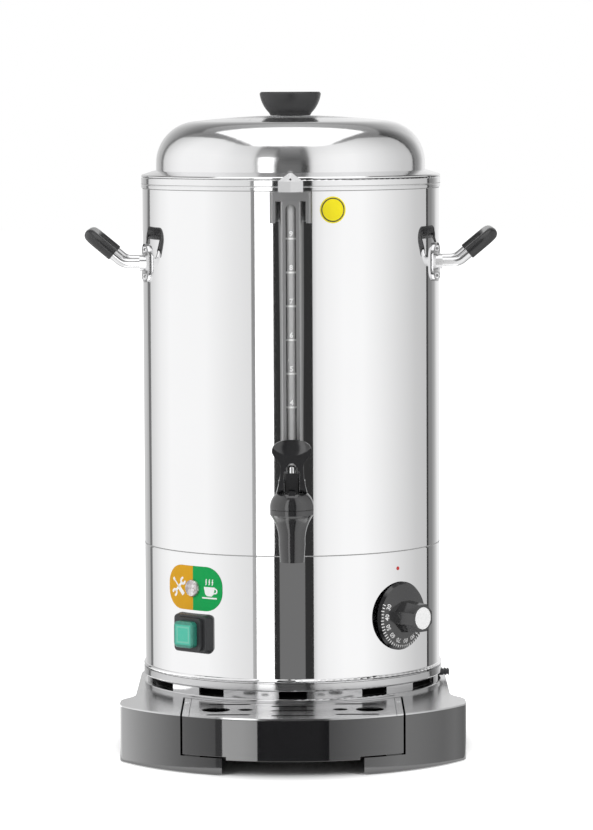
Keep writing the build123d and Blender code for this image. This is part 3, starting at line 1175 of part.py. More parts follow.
PIECES = [
    stand_skirt, stand_top_plate, stand_feet, tray_runners,
    drip_tray_pan, tray_trims, trim_rivets, drip_grid,
    foot_ring, spacer_tabs, base_pan, base_shell, drum_shell, top_rim, inner_tank, tank_floor,
    heater_plate, heating_element, dry_cutout, thermostat_bulb, thermostat_body, thermostat_capillary,
    terminal_block, cable_gland, switch_bezel, switch_boot, switch_rocker, switch_body,
    label_plate, lamp_lens, lamp_body, dial_knob, dial_cap, dial_spindle,
    tap_body, tap_bonnet, seat_cup, tap_stem, stem_block, lever_pin, tap_spring, tap_lever,
    shank_washers, shank_nut, gauge_guard, gauge_glass, gauge_seals, gauge_bracket, gauge_nut,
    lid_shell, lid_knob, knob_screw,
]
PAIRS = [handle_rod, handle_grip, handle_flanges, handle_screws]

if __name__ == "__main__":
    os.makedirs("parts", exist_ok=True)
    for make in PIECES:
        save(make.__name__, make())
    for make in PAIRS:
        right = make()
        save(f"{make.__name__}_right", right)
        save(f"{make.__name__}_left", mirrored(right))
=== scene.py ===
# %% [markdown]
# # A hot water urn, dressed for its portrait
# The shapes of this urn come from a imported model: every solid part is already at its real size and place.
# This script gives each of them its finish, adds the thin printed and moulded details that a drawing of
# solids leaves out, and puts the whole thing in a small photo studio. Every length is in metres.

# %% Load the fixed frame
import json
import math

import bmesh
import bpy
from mathutils import Matrix, Vector
from mathutils.bvhtree import BVHTree

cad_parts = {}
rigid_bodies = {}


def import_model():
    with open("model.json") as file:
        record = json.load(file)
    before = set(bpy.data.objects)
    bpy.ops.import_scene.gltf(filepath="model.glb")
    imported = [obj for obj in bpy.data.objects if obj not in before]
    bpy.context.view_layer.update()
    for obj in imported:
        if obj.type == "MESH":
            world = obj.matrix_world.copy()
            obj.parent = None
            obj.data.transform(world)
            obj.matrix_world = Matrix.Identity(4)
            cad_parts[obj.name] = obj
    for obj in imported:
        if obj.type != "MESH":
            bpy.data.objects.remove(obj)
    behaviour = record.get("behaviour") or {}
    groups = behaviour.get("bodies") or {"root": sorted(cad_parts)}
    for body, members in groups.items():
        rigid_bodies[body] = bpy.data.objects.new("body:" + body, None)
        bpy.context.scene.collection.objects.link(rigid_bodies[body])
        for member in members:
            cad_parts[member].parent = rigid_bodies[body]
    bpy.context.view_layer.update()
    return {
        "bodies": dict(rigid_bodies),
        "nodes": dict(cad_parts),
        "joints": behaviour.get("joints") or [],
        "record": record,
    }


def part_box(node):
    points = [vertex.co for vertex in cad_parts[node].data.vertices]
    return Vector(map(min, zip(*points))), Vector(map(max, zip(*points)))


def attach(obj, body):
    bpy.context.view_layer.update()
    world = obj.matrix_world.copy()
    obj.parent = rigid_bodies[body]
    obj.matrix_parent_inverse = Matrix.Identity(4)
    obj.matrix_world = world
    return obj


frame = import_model()
nodes = frame["nodes"]

# %% [markdown]
# ## Sizes that everything below is measured from
# The drum is the heart of the urn, and most other pieces are placed round it. Its axis, radius and heights
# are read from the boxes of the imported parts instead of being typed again, so a changed model carries its
# details along. `place` turns a direction round the drum, in degrees from the front, into a point.

# %% Find the drum
MM = 0.001
drum_low, drum_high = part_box("drum_shell")
AXIS = Vector(((drum_low.x + drum_high.x) / 2, (drum_low.y + drum_high.y) / 2, 0))
DRUM_R = (drum_high.x - drum_low.x) / 2


def outward(angle):
    """Unit vector away from the drum's axis, for an angle in degrees from the front towards +X."""
    a = math.radians(angle)
    return Vector((math.sin(a), -math.cos(a), 0))


def place(angle, z, r=DRUM_R):
    """Point at a direction and height, r away from the drum's axis."""
    return AXIS + outward(angle) * r + Vector((0, 0, z))


def middle(node):
    low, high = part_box(node)
    return (low + high) / 2


def heading(node):
    """Direction of a node's middle from the drum's axis, in degrees from the front."""
    spot = middle(node) - AXIS
    return math.degrees(math.atan2(spot.x, -spot.y))


print("drum radius", round(DRUM_R, 4), "dial at", round(heading("dial_cap"), 2), "degrees")

# %% [markdown]
# ## Shader maths written as Python
# A procedural finish is mostly arithmetic: a mask times a colour, a noise minus a half. Wiring Math nodes by
# hand hides that arithmetic, so `Value` wraps a socket and lets `+ - * /` add the nodes. `Finish` is the
# material itself, with one method, `node`, that makes any other node from its type, settings and inputs.

# %% The Value class
class Value:
    """The output of a node, ready for arithmetic."""

    def __init__(self, finish, socket):
        self.finish, self.socket = finish, socket

    def math(self, operation, *others, clamp=False):
        given = dict(enumerate((self, *others)))
        return self.finish.node("ShaderNodeMath", {"operation": operation, "use_clamp": clamp}, given)

    def __add__(self, other):
        return self.math("ADD", other)

    __radd__ = __add__

    def __sub__(self, other):
        return self.math("SUBTRACT", other)

    def __rsub__(self, other):
        return (self * -1.0).math("ADD", other)

    def __mul__(self, other):
        return self.math("MULTIPLY", other)

    __rmul__ = __mul__

    def __truediv__(self, other):
        return self.math("DIVIDE", other)

    def between(self, low, high):
        """Goes from 0 at low to 1 at high, and stays there."""
        return ((self - low) / (high - low)).math("ADD", 0.0, clamp=True)


# %% The Finish class
class Finish:
    """A material, with one method that makes any node."""

    def __init__(self, name):
        self.material = bpy.data.materials.new(name)
        self.material.use_nodes = True
        self.tree = self.material.node_tree
        self.tree.nodes.clear()

    def node(self, kind, settings=None, inputs=None, out=0):
        node = self.tree.nodes.new(kind)
        for key, value in (settings or {}).items():
            if key == "stops":
                self.set_stops(node.color_ramp, value)
            else:
                setattr(node, key, value)
        for key, value in (inputs or {}).items():
            if isinstance(value, Value):
                self.tree.links.new(value.socket, node.inputs[key])
            else:
                node.inputs[key].default_value = value
        return Value(self, node.outputs[out]) if len(node.outputs) else None

    @staticmethod
    def set_stops(ramp, stops):
        while len(ramp.elements) < len(stops):
            ramp.elements.new(0.5)
        for element, (at, shade) in zip(ramp.elements, stops):
            element.position = at
            element.color = (shade, shade, shade, 1)

    def ramp(self, at, stops):
        """A curve of greys through (position, shade) stops."""
        return self.node("ShaderNodeValToRGB", {"stops": stops}, {0: at})

    def place(self):
        """Position on the piece, in metres, the same wherever the piece stands."""
        return self.node("ShaderNodeTexCoord", out=3)

    def vector(self, operation, a, b, out=0):
        return self.node("ShaderNodeVectorMath", {"operation": operation}, {0: a, 1: b}, out)

    def parts(self, vector):
        """The X, Y and Z of a vector, as three values."""
        split = self.node("ShaderNodeSeparateXYZ", None, {0: vector}).socket.node
        return [Value(self, socket) for socket in split.outputs]

    def from_axis(self):
        """Distance from the drum's axis."""
        flat = self.vector("MULTIPLY", self.vector("SUBTRACT", self.place(), tuple(AXIS)), (1, 1, 0))
        return self.vector("LENGTH", flat, (0, 0, 0), out=1)

    def stretched(self, x, y, z):
        """Position scaled along each axis, for grain that runs one way."""
        return self.vector("MULTIPLY", self.place(), (x, y, z))

    def noise(self, scale, detail=3.0, rough=0.5, at=None):
        given = {"Vector": at or self.place(), "Scale": scale, "Detail": detail, "Roughness": rough}
        return self.node("ShaderNodeTexNoise", None, given)

    def blend(self, amount, a, b):
        """Colour a where amount is 0, b where it is 1."""
        given = {0: amount}
        for key, color in ((6, a), (7, b)):
            given[key] = color if isinstance(color, Value) else (*color, 1)
        return self.node("ShaderNodeMix", {"data_type": "RGBA"}, given, out=2)

    def bump(self, height, strength, distance=0.001):
        given = {"Strength": strength, "Distance": distance, "Height": height}
        return self.node("ShaderNodeBump", None, given)

    def close(self, shader):
        self.node("ShaderNodeOutputMaterial", None, {"Surface": shader})
        return self.material

    def surface(self, **inputs):
        """The closing shader: an underscore in a name stands for the space in the socket's name."""
        given = {}
        for key, value in inputs.items():
            if isinstance(value, tuple) and "Color" in key:
                value = (*value, 1)
            given[key.replace("_", " ")] = value
        return self.close(self.node("ShaderNodeBsdfPrincipled", None, given))


print("shader helpers ready")

# %% [markdown]
# ## Polished stainless sheet
# The drum, its rims and the base shell are thin stainless sheet, polished almost to a mirror. A perfect
# mirror looks like a computer's idea of steel. Real sheet is rolled and wiped: it has very fine lines, a
# faint haze and a few smears, so the roughness is a low number plus two noises, one stretched along the
# lines.
# `shaded` is for sheet that goes on inside the vent under the drum: there it is rougher, and its colour is
# painted almost black, a painted shade for the dark vent.
# `bend` is how far from the middle a folded channel turns its corner: the fold is rougher than the flats, and
# its colour is darkened, a painted shade that keeps the corner from shining.

# %% Steel finishes
VENT_IN, VENT_OUT = 8 * MM, 1 * MM      # the painted vent shade is full this far inside the drum's radius, and gone this far inside
BEND_WIDE = 1.5 * MM                    # how far a fold takes to turn


def steel(name, color, rough, haze=0.02, lines=(0, 0, 0), line_depth=0.0, shaded=False, bend=None):
    finish = Finish(name)
    smears = finish.noise(18.0, 4.0)
    grain = finish.noise(1.0, 2.0, at=finish.stretched(*lines)) if any(lines) else smears
    tone = finish.blend(smears, color, tuple(c * 0.975 for c in color))
    roughness = rough + haze * smears + haze * grain
    if shaded:
        # painted shade: inside the vent the sheet's colour goes almost black, standing in for the drum's
        # shadow
        painted_vent_shade = 1 - finish.from_axis().between(DRUM_R - VENT_IN, DRUM_R - VENT_OUT)
        tone = finish.blend(painted_vent_shade, tone, (0.05, 0.05, 0.05))
        roughness = roughness + 0.4 * painted_vent_shade
    if bend:
        # painted shade: the fold's colour is darkened, besides being rougher
        side = finish.parts(finish.place())[0].math("ABSOLUTE").between(bend, bend + BEND_WIDE)
        tone = finish.blend(side, tone, (0.30, 0.30, 0.30))
        roughness = roughness + 0.15 * side
    inputs = {"Base_Color": tone, "Metallic": 1.0, "Roughness": roughness}
    if line_depth:
        inputs["Normal"] = finish.bump(grain, 0.12, line_depth)
    return finish.surface(**inputs)


mirror_steel = steel("polished_drum_steel", (0.93, 0.93, 0.935), 0.02, 0.018, (30, 30, 900))
rim_steel = steel("rolled_rim_steel", (0.88, 0.88, 0.885), 0.045, 0.03, (30, 30, 1500))
# the vent sheet and the stand's top carry the painted vent shade
vent_steel = steel("vent_steel", (0.62, 0.62, 0.625), 0.06, 0.05, (30, 30, 900), shaded=True)
plate_steel = steel("stand_top_steel", (0.56, 0.56, 0.565), 0.15, 0.07, (30, 1200, 30), 0.00002, shaded=True)
grid_steel = steel("drip_grid_steel", (0.66, 0.66, 0.665), 0.12, 0.08, (30, 1200, 30), 0.00002)
tank_steel = steel("satin_tank_steel", (0.70, 0.70, 0.71), 0.28, 0.08, (40, 40, 700), 0.00003)
fitting_steel = steel("bright_fitting_steel", (0.84, 0.84, 0.845), 0.07, 0.05)
# the channel and the bracket carry the painted shade on their folds
guard_steel = steel("gauge_channel_steel", (0.66, 0.66, 0.665), 0.26, 0.08, (900, 900, 8), bend=6.2 * MM)
bracket_steel = steel("gauge_bracket_steel", (0.62, 0.62, 0.625), 0.24, 0.10, bend=13.6 * MM)
nut_steel = steel("gauge_nut_steel", (0.66, 0.66, 0.665), 0.17, 0.08)
element_steel = steel("oxide_grey_sheath", (0.36, 0.35, 0.34), 0.42, 0.12)
cast_aluminium = steel("cast_aluminium", (0.70, 0.71, 0.72), 0.45, 0.15)
copper = steel("drawn_copper", (0.80, 0.45, 0.30), 0.25, 0.10)
print("steel finishes made")

# %% [markdown]
# ## The spun lid
# A lid is spun: the sheet is pressed over a turning form, and the tool leaves rings as fine as those of a
# record. Rings depend only on the distance from the axis, so a noise that is fed that one number draws them.
# They spread each highlight a little outward, which a mirror would not do. Round the knob, where the tool is
# lifted off, the sheet stays hazy.

# %% Lid finish
KNOB_SHADE, SHADE_FADE = 32 * MM, 25 * MM    # the sheet is hazy round the knob, and clears over this width


def spun_steel(name, color, rough, rings):
    finish = Finish(name)
    across = finish.node("ShaderNodeCombineXYZ", None, {0: finish.from_axis() * rings})
    ring = finish.noise(1.0, 3.0, 0.6, at=across)
    smears = finish.noise(14.0, 4.0)
    tone = finish.blend(ring, color, tuple(c * 0.93 for c in color))
    top = 1 - finish.from_axis().between(KNOB_SHADE, KNOB_SHADE + SHADE_FADE)
    roughness = rough + 0.07 * ring + 0.05 * smears + 0.35 * top
    return finish.surface(Base_Color=tone, Metallic=1.0, Roughness=roughness,
                          Normal=finish.bump(ring, 0.10, 0.00004))


lid_steel = spun_steel("spun_lid_steel", (0.92, 0.92, 0.925), 0.065, 2200.0)
print("lid finish made")

# %% [markdown]
# ## Moulded plastics
# The stand, tap, knobs and grips are black mouldings, but not all alike: the stand is glossy like lacquer,
# the tap half glossy, the grips almost matt. Mouldings show their grain as a tiny bump, and hands leave the
# gloss uneven, so each gets a fine noise in its normal and a broad one in its roughness. Faint pale rubs come
# where a broad noise peaks. The index of refraction sets how strongly a black surface mirrors: lacquer needs
# more.

# %% Plastic finishes
def plastic(name, color, rough, grain=0.3, grain_scale=2500.0, uneven=0.08, ior=1.5, rubs=0.3):
    finish = Finish(name)
    patches = finish.noise(35.0, 3.0)
    fine = finish.noise(grain_scale, 2.0)
    rubbed = finish.noise(90.0, 5.0, 0.7).between(0.62, 0.80) * rubs
    tone = finish.blend(patches, color, tuple(min(1, c * 1.2 + 0.002) for c in color))
    tone = finish.blend(rubbed, tone, tuple(min(1, c * 1.3 + 0.01) for c in color))
    return finish.surface(Base_Color=tone, Roughness=rough + uneven * (patches - 0.5) + 0.1 * rubbed, IOR=ior,
                          Normal=finish.bump(fine, grain, 0.00004))


stand_plastic = plastic("stand_gloss_moulding", (0.008, 0.008, 0.009), 0.075, 0.03, uneven=0.04, ior=2.12)
tray_plastic = plastic("tray_gloss_moulding", (0.006, 0.006, 0.007), 0.065, 0.03, uneven=0.04, ior=2.12)
tap_plastic = plastic("tap_moulding", (0.010, 0.010, 0.011), 0.14, 0.12, ior=1.85)
lever_plastic = plastic("lever_moulding", (0.012, 0.012, 0.013), 0.17, 0.12, ior=1.75)
knob_plastic = plastic("lid_knob_moulding", (0.030, 0.030, 0.031), 0.36, 0.35)
dial_plastic = plastic("dial_moulding", (0.012, 0.012, 0.013), 0.13, 0.12, ior=1.8)
grip_plastic = plastic("grip_sleeve", (0.016, 0.016, 0.017), 0.26, 0.3, ior=1.6)
bezel_plastic = plastic("bezel_moulding", (0.028, 0.029, 0.031), 0.38, 0.9, 1400.0)
control_plastic = plastic("control_moulding", (0.06, 0.06, 0.062), 0.45, 0.4)
cap_plastic = plastic("dial_cap_disc", (0.95, 0.95, 0.95), 0.30, 0.1, rubs=0.0)
rocker_plastic = plastic("rocker_moulding", (0.03, 0.42, 0.33), 0.25, 0.1)
# painted shade: the grey of the dark lines laid in seams and hems
painted_groove_shade = plastic("painted_groove_shade", (0.30, 0.30, 0.30), 0.5, 0.2, rubs=0.0)
foot_rubber = plastic("foot_rubber", (0.018, 0.018, 0.018), 0.75, 0.8)
seal_rubber = plastic("seal_silicone", (0.55, 0.54, 0.50), 0.55, 0.3)
white_ink = plastic("white_ink", (0.86, 0.86, 0.85), 0.45, 0.2)
red_ink = plastic("red_ink", (0.55, 0.02, 0.02), 0.4, 0.2)
yellow_ink = plastic("yellow_ink", (0.85, 0.72, 0.01), 0.45, 0.2, ior=1.3, rubs=0.0)
print("plastic finishes made")

# %% [markdown]
# ## Clear, coloured and two-coloured pieces
# Four small pieces need more than one tone. The label is a printed foil whose two halves differ: a mask from
# the distance past its middle line chooses the ink. The switch's silicone boot is frosted at its border and
# clear over the rocker. The indicator's lens is cut in facets, which a Voronoi pattern gives cheaply. The
# level gauge is a real glass tube, so it refracts; its sides are also painted almost black, a painted shade
# for the dark edges that more glass gives.

# %% A piece's own axes
def face_frame(angle, z):
    """Matrix of a flat drawing board on the drum: X to the right, Y up, Z outward, origin on the drum."""
    out = outward(angle)
    right = Vector((-out.y, out.x, 0))
    turn = Matrix((right, Vector((0, 0, 1)), out)).transposed()
    return Matrix.Translation(place(angle, z)) @ turn.to_4x4()


def board(node):
    """The drawing board that faces a node: a node that is symmetrical about its own middle direction."""
    angles = [math.atan2(v.co.x - AXIS.x, AXIS.y - v.co.y) for v in nodes[node].data.vertices]
    return face_frame(math.degrees((min(angles) + max(angles)) / 2), middle(node).z)


def along(finish, spot, direction):
    """How far a point of the piece lies from spot in a direction, as a value."""
    away = finish.vector("SUBTRACT", finish.place(), tuple(spot))
    return finish.vector("DOT_PRODUCT", away, tuple(direction), out=1)


label_board = board("label_plate")
switch_board = board("switch_bezel")
dial_board = face_frame(heading("dial_cap"), middle("dial_cap").z)
print("label, switch and dial face", [round(math.degrees(math.atan2(b.col[2].x, -b.col[2].y)), 1)
                                      for b in (label_board, switch_board, dial_board)])


# %% Label, boot, lens and glass
def label_foil():
    finish = Finish("label_foil")
    across = along(finish, label_board.translation, label_board.col[0].xyz)
    ink = finish.blend(across.between(-0.1 * MM, 0.1 * MM), (0.73, 0.37, 0.008), (0.0, 0.36, 0.08))
    wear = finish.noise(240.0, 4.0)
    return finish.surface(Base_Color=finish.blend(wear * 0.02, ink, (0.7, 0.7, 0.7)), IOR=1.22,
                          Roughness=0.38 + 0.12 * wear, Normal=finish.bump(wear, 0.05, 0.0001))


def boot_skin():
    finish = Finish("boot_silicone")
    spot, right, up = switch_board.translation, switch_board.col[0].xyz, switch_board.col[1].xyz
    side = along(finish, spot, right).math("ABSOLUTE")
    rise = along(finish, spot, up).math("ABSOLUTE")
    reach = side.math("MAXIMUM", rise)      # a square distance from the middle, for square borders
    border = reach.between(7.4 * MM, 8.4 * MM)
    frame = reach.between(5.0 * MM, 5.6 * MM) - reach.between(6.4 * MM, 7.0 * MM)
    frost = finish.noise(420.0, 4.0)
    tone = finish.blend(border, (0.02, 0.52, 0.36), (0.0, 0.20, 0.14))
    tone = finish.blend(frame * 0.55, tone, (0.22, 0.58, 0.46))
    return finish.surface(Base_Color=finish.blend(frost * 0.22, tone, (0.25, 0.66, 0.52)),
                          Roughness=0.16 + 0.2 * border + 0.1 * frost, Coat_Weight=0.5, Coat_Roughness=0.08,
                          Normal=finish.bump(frost, 0.08, 0.0001))


def lens_facets():
    finish = Finish("lens_facets")
    given = {"Vector": finish.place(), "Scale": 420.0}
    cells = finish.node("ShaderNodeTexVoronoi", {"feature": "F1"}, given, 1)
    shade = finish.parts(cells)[0]
    tone = finish.blend(shade, (0.36, 0.31, 0.31), (0.86, 0.83, 0.83))
    return finish.surface(Base_Color=tone, Metallic=0.55, Roughness=0.12 + 0.2 * shade, Coat_Weight=0.8,
                          Coat_Roughness=0.03, Normal=finish.bump(shade, 0.35, 0.0002))


def tube_glass():
    finish = Finish("gauge_tube_glass")
    film = finish.noise(60.0, 3.0)
    # painted shade: the tube's sides are painted almost black
    side = finish.parts(finish.place())[0].math("ABSOLUTE").between(2.9 * MM, 3.8 * MM)
    tint_and_side_shade = finish.blend(side, finish.blend(film, (0.80, 0.80, 0.80), (0.70, 0.70, 0.70)), (0.02, 0.02, 0.02))
    return finish.surface(Base_Color=tint_and_side_shade, Roughness=0.03 + 0.06 * film, Transmission_Weight=0.35, IOR=1.47)


label_print, boot_silicone, lens_plastic, gauge_glass = label_foil(), boot_skin(), lens_facets(), tube_glass()
print("special finishes made")

# %% [markdown]
# ## Handing out the finishes
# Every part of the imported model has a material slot, which says what it is made of. Most parts of one slot
# look alike, so the slot chooses the finish; the few that differ, such as the spun lid among the polished
# sheets, are named after it.

# %% Give every solid part its finish
FINISHES = {
    "polished_steel": mirror_steel, "tank_steel": tank_steel, "bright_fittings": fitting_steel,
    "element_steel": element_steel, "heater_aluminium": cast_aluminium, "capillary_copper": copper,
    "control_plastic": control_plastic, "stand_plastic": stand_plastic, "knob_plastic": knob_plastic,
    "tap_plastic": tap_plastic, "grip_plastic": grip_plastic, "bezel_plastic": bezel_plastic,
    "cap_plastic": cap_plastic, "boot_silicone": boot_silicone, "rocker_plastic": rocker_plastic,
    "lens_plastic": lens_plastic, "label_print": label_print, "gauge_glass": gauge_glass,
    "seal_rubber": seal_rubber, "foot_rubber": foot_rubber,
}
SPECIAL = {
    "lid_shell": lid_steel, "top_rim": rim_steel, "stand_top_plate": plate_steel, "tray_trims": grid_steel,
    "drip_grid": grid_steel, "base_pan": vent_steel, "foot_ring": vent_steel, "spacer_tabs": vent_steel,
    "drip_tray_pan": tray_plastic, "dial_knob": dial_plastic, "tap_lever": lever_plastic,
    "gauge_guard": guard_steel, "gauge_bracket": bracket_steel, "gauge_nut": nut_steel,
}
slot_of = {row["node"]: row["material_slot"] for row in frame["record"]["subparts"]}
for name, part in nodes.items():
    part.data.materials.clear()
    part.data.materials.append(SPECIAL.get(name, FINISHES[slot_of[name]]))
print("finished", len(nodes), "parts")

# %% [markdown]
# ## Printing on curved steel
# Printed marks are thin films of ink on curved faces: a drum, a glass tube, the cone of a dial. Modelling
# each on its curve by hand would be slow. It is easier to draw them flat on a board in front of the urn and
# then let every point travel straight back until it meets the part, as a screen printer's squeegee does. The
# drawing is first cut into narrow strips, because a flat face between two far points would cut through the
# curve.

# %% Flat drawing helpers
def polygon(sketch, points):
    """One flat face through a list of (x, y) points."""
    return sketch.faces.new([sketch.verts.new((x, y, 0)) for x, y in points])


def circle(sketch, x, y, r, sides=32):
    turn = 2 * math.pi / sides
    polygon(sketch, [(x + r * math.cos(i * turn), y + r * math.sin(i * turn)) for i in range(sides)])


def ring(sketch, x, y, inner, outer, start=0.0, end=360.0, sides=32):
    """An arc-shaped band, as short four-sided faces."""
    def at(i, r):
        a = math.radians(start + (end - start) * i / sides)
        return x + r * math.cos(a), y + r * math.sin(a)
    for i in range(sides):
        polygon(sketch, [at(i, inner), at(i, outer), at(i + 1, outer), at(i + 1, inner)])


def bar(sketch, x, y, wide, high, turn=0.0):
    """A rectangle about (x, y), turned by an angle in degrees."""
    a = math.radians(turn)
    corners = [(-wide / 2, -high / 2), (wide / 2, -high / 2), (wide / 2, high / 2), (-wide / 2, high / 2)]
    polygon(sketch, [(x + u * math.cos(a) - v * math.sin(a), y + u * math.sin(a) + v * math.cos(a))
                     for u, v in corners])


def letters(sketch, text, x, y, size, turn=0.0, bold=0.0):
    """A word or number set about (x, y), from Blender's own plain font, each stroke widened by bold."""
    curve = bpy.data.curves.new("type", "FONT")
    curve.body, curve.size, curve.align_x, curve.align_y = text, size, "CENTER", "CENTER"
    curve.resolution_u, curve.offset = 3, bold
    holder = bpy.data.objects.new("type", curve)
    bpy.context.scene.collection.objects.link(holder)
    mesh = bpy.data.meshes.new_from_object(holder.evaluated_get(bpy.context.evaluated_depsgraph_get()))
    mesh.transform(Matrix.Translation((x, y, 0)) @ Matrix.Rotation(math.radians(turn), 4, "Z"))
    sketch.from_mesh(mesh)
    bpy.data.objects.remove(holder)
    bpy.data.curves.remove(curve)
    bpy.data.meshes.remove(mesh)


# %% Wrap a drawing onto a part
INK = 0.08 * MM         # thickness of a printed film
CLEAR = 0.05 * MM       # a film's usual distance from its part
RAY_START = 0.06        # the rays start this far in front of the board


def surface_of(node):
    mesh = nodes[node].data
    return BVHTree.FromPolygons([v.co for v in mesh.vertices], [tuple(p.vertices) for p in mesh.polygons])


def print_on(name, sketch, frame_of, node, material, body, strip=1.0 * MM, lift=CLEAR):
    """Press a flat drawing back onto a node, and leave it there as a thin film that rides on a body."""
    low = min(v.co.x for v in sketch.verts)
    high = max(v.co.x for v in sketch.verts)
    for i in range(1, int((high - low) / strip) + 1):
        everything = list(sketch.verts) + list(sketch.edges) + list(sketch.faces)
        bmesh.ops.bisect_plane(sketch, geom=everything, plane_co=(low + i * strip, 0, 0), plane_no=(1, 0, 0))
    bmesh.ops.triangulate(sketch, faces=[f for f in sketch.faces if len(f.verts) > 4])
    tree, out = surface_of(node), frame_of.col[2].xyz
    missed = 0
    for vert in sketch.verts:
        start = frame_of @ (vert.co + Vector((0, 0, RAY_START)))
        hit = tree.ray_cast(start, -out)[0]
        missed += hit is None
        vert.co = (hit or frame_of @ vert.co) + out * lift
    bmesh.ops.recalc_face_normals(sketch, faces=sketch.faces)
    if sum((f.normal.dot(out) * f.calc_area() for f in sketch.faces), 0.0) < 0:
        bmesh.ops.reverse_faces(sketch, faces=sketch.faces)
    mesh = bpy.data.meshes.new(name)
    sketch.to_mesh(mesh)
    sketch.free()
    piece = bpy.data.objects.new(name, mesh)
    mesh.materials.append(material)
    bpy.context.scene.collection.objects.link(piece)
    film = piece.modifiers.new("ink", "SOLIDIFY")
    film.thickness, film.offset = INK, 1.0
    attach(piece, body)
    print(name, len(mesh.polygons), "faces,", missed, "points missed the part")


# %% [markdown]
# ## The level gauge's scale
# A sight glass is read against a scale: short white bars fired onto the tube, each with its number of litres
# above it. They are evenly spaced, because the drum is a plain cylinder. The bars are drawn flat and pressed
# onto the glass, where they curve away at their ends.

# %% Gauge scale
SCALE_TOP, SCALE_STEP = 0.412, 26.3 * MM     # height of the highest bar, and from bar to bar
LITRES = (9, 8, 7, 6, 5, 4)
BAR_WIDE, BAR_HIGH = 8.4 * MM, 1.5 * MM
LITRE_X, LITRE_UP, LITRE_SIZE, LITRE_BOLD = 0.2 * MM, 3.6 * MM, 5.6 * MM, 0.25 * MM
gauge_board = face_frame(0, 0)
scale = bmesh.new()
for i, litres in enumerate(LITRES):
    z = SCALE_TOP - i * SCALE_STEP
    bar(scale, 0, z, BAR_WIDE, BAR_HIGH)
    letters(scale, str(litres), LITRE_X, z + LITRE_UP, LITRE_SIZE, bold=LITRE_BOLD)
print_on("gauge_scale", scale, gauge_board, "gauge_glass", white_ink, "urn", 0.5 * MM)

# %% [markdown]
# ## The dial's ticks and numbers
# The thermostat is set by turning the knob until its number meets the red dot on the shell. The numbers are
# plain degrees Celsius, ten apart, set round the sloping skirt of the knob so that their heads point outward.
# They ride with the knob.

# %% Dial scale
DIAL_FIRST, DIAL_STEP = 154.0, 24.0       # angle of the lowest number, and from number to number, in degrees
DEGREES = range(30, 111, 10)
NUMBER_R, NUMBER_SIZE, NUMBER_BOLD = 19.6 * MM, 5.0 * MM, 0.12 * MM
TICK_IN, TICK_OUT, TICK_HIGH, TICKS = 23.1 * MM, 25.6 * MM, 0.8 * MM, 4      # TICKS from number to number
dial_scale = bmesh.new()
for i, degrees in enumerate(DEGREES):
    angle = DIAL_FIRST + i * DIAL_STEP
    a = math.radians(angle)
    letters(dial_scale, str(degrees), NUMBER_R * math.cos(a), NUMBER_R * math.sin(a), NUMBER_SIZE, angle - 90,
            bold=NUMBER_BOLD)
    for part in range(TICKS if degrees != DEGREES[-1] else 1):
        b = math.radians(angle + DIAL_STEP * part / TICKS)
        r = (TICK_IN + TICK_OUT) / 2
        bar(dial_scale, r * math.cos(b), r * math.sin(b), TICK_OUT - TICK_IN, TICK_HIGH, math.degrees(b))
print_on("dial_scale", dial_scale, dial_board, "dial_knob", white_ink, "dial")

# %% [markdown]
# ## Marks on the shell
# Above the dial a red dot is the mark that the numbers are set against. High on the drum sits a plain round
# yellow sticker with a dark edge, where such an urn warns of its heat; it is left without a sign.

# %% Red dot and yellow sticker
MARK_X, MARK_UP, MARK_R = -2.4 * MM, 38.1 * MM, 1.5 * MM      # from the dial's middle to the mark
STICKER_AT, STICKER_Z, STICKER_R = 16.0, 0.4335, 10.5 * MM
EDGE_IN, EDGE_OUT = 1.9 * MM, 1.0 * MM      # the dark edge lies between these distances inside the rim
MARK_LIFT, EDGE_LIFT = 0.1 * MM, 0.22 * MM
mark = bmesh.new()
circle(mark, MARK_X, MARK_UP, MARK_R)
print_on("set_mark", mark, dial_board, "base_shell", red_ink, "urn", lift=MARK_LIFT)

sticker_board = face_frame(STICKER_AT, STICKER_Z)
sticker = bmesh.new()
circle(sticker, 0, 0, STICKER_R, 64)
print_on("round_sticker", sticker, sticker_board, "drum_shell", yellow_ink, "urn",
         lift=MARK_LIFT)
edge = bmesh.new()
ring(edge, 0, 0, STICKER_R - EDGE_IN, STICKER_R - EDGE_OUT, sides=64)
print_on("sticker_edge", edge, sticker_board, "drum_shell", bezel_plastic, "urn",
         lift=EDGE_LIFT)

# %% [markdown]
# ## The label's signs
# One half of the label stands for service and the other for a hot drink. The signs are the common ones: a
# spanner crossed with a screwdriver, and a cup on its saucer with steam. Each is a handful of bars, rings and
# circles, joined in one white film.

# %% Tools and cup
TOOLS_X, CUP_X, CUP_Y = -16.0 * MM, 16.5 * MM, -0.6 * MM
SIGN_LIFT = 0.04 * MM


def turned(x, y, angle, along_x, along_y):
    """A point at (along_x, along_y) on a tool that is centred at (x, y) and turned by an angle."""
    a = math.radians(angle)
    return (x + along_x * math.cos(a) - along_y * math.sin(a),
            y + along_x * math.sin(a) + along_y * math.cos(a))


def spanner(sketch, x, y, angle):
    bar(sketch, x, y, 11.0 * MM, 2.0 * MM, angle)
    for side in (-1, 1):
        jaw = turned(x, y, angle, side * 7.0 * MM, 0)
        facing = angle if side > 0 else angle + 180
        ring(sketch, *jaw, 1.3 * MM, 3.2 * MM, facing + 40, facing + 320)


def screwdriver(sketch, x, y, angle):
    bar(sketch, *turned(x, y, angle, -4.6 * MM, 0), 7.0 * MM, 3.4 * MM, angle)
    bar(sketch, *turned(x, y, angle, 3.0 * MM, 0), 9.0 * MM, 1.3 * MM, angle)
    bar(sketch, *turned(x, y, angle, 8.2 * MM, 0), 2.4 * MM, 2.4 * MM, angle)


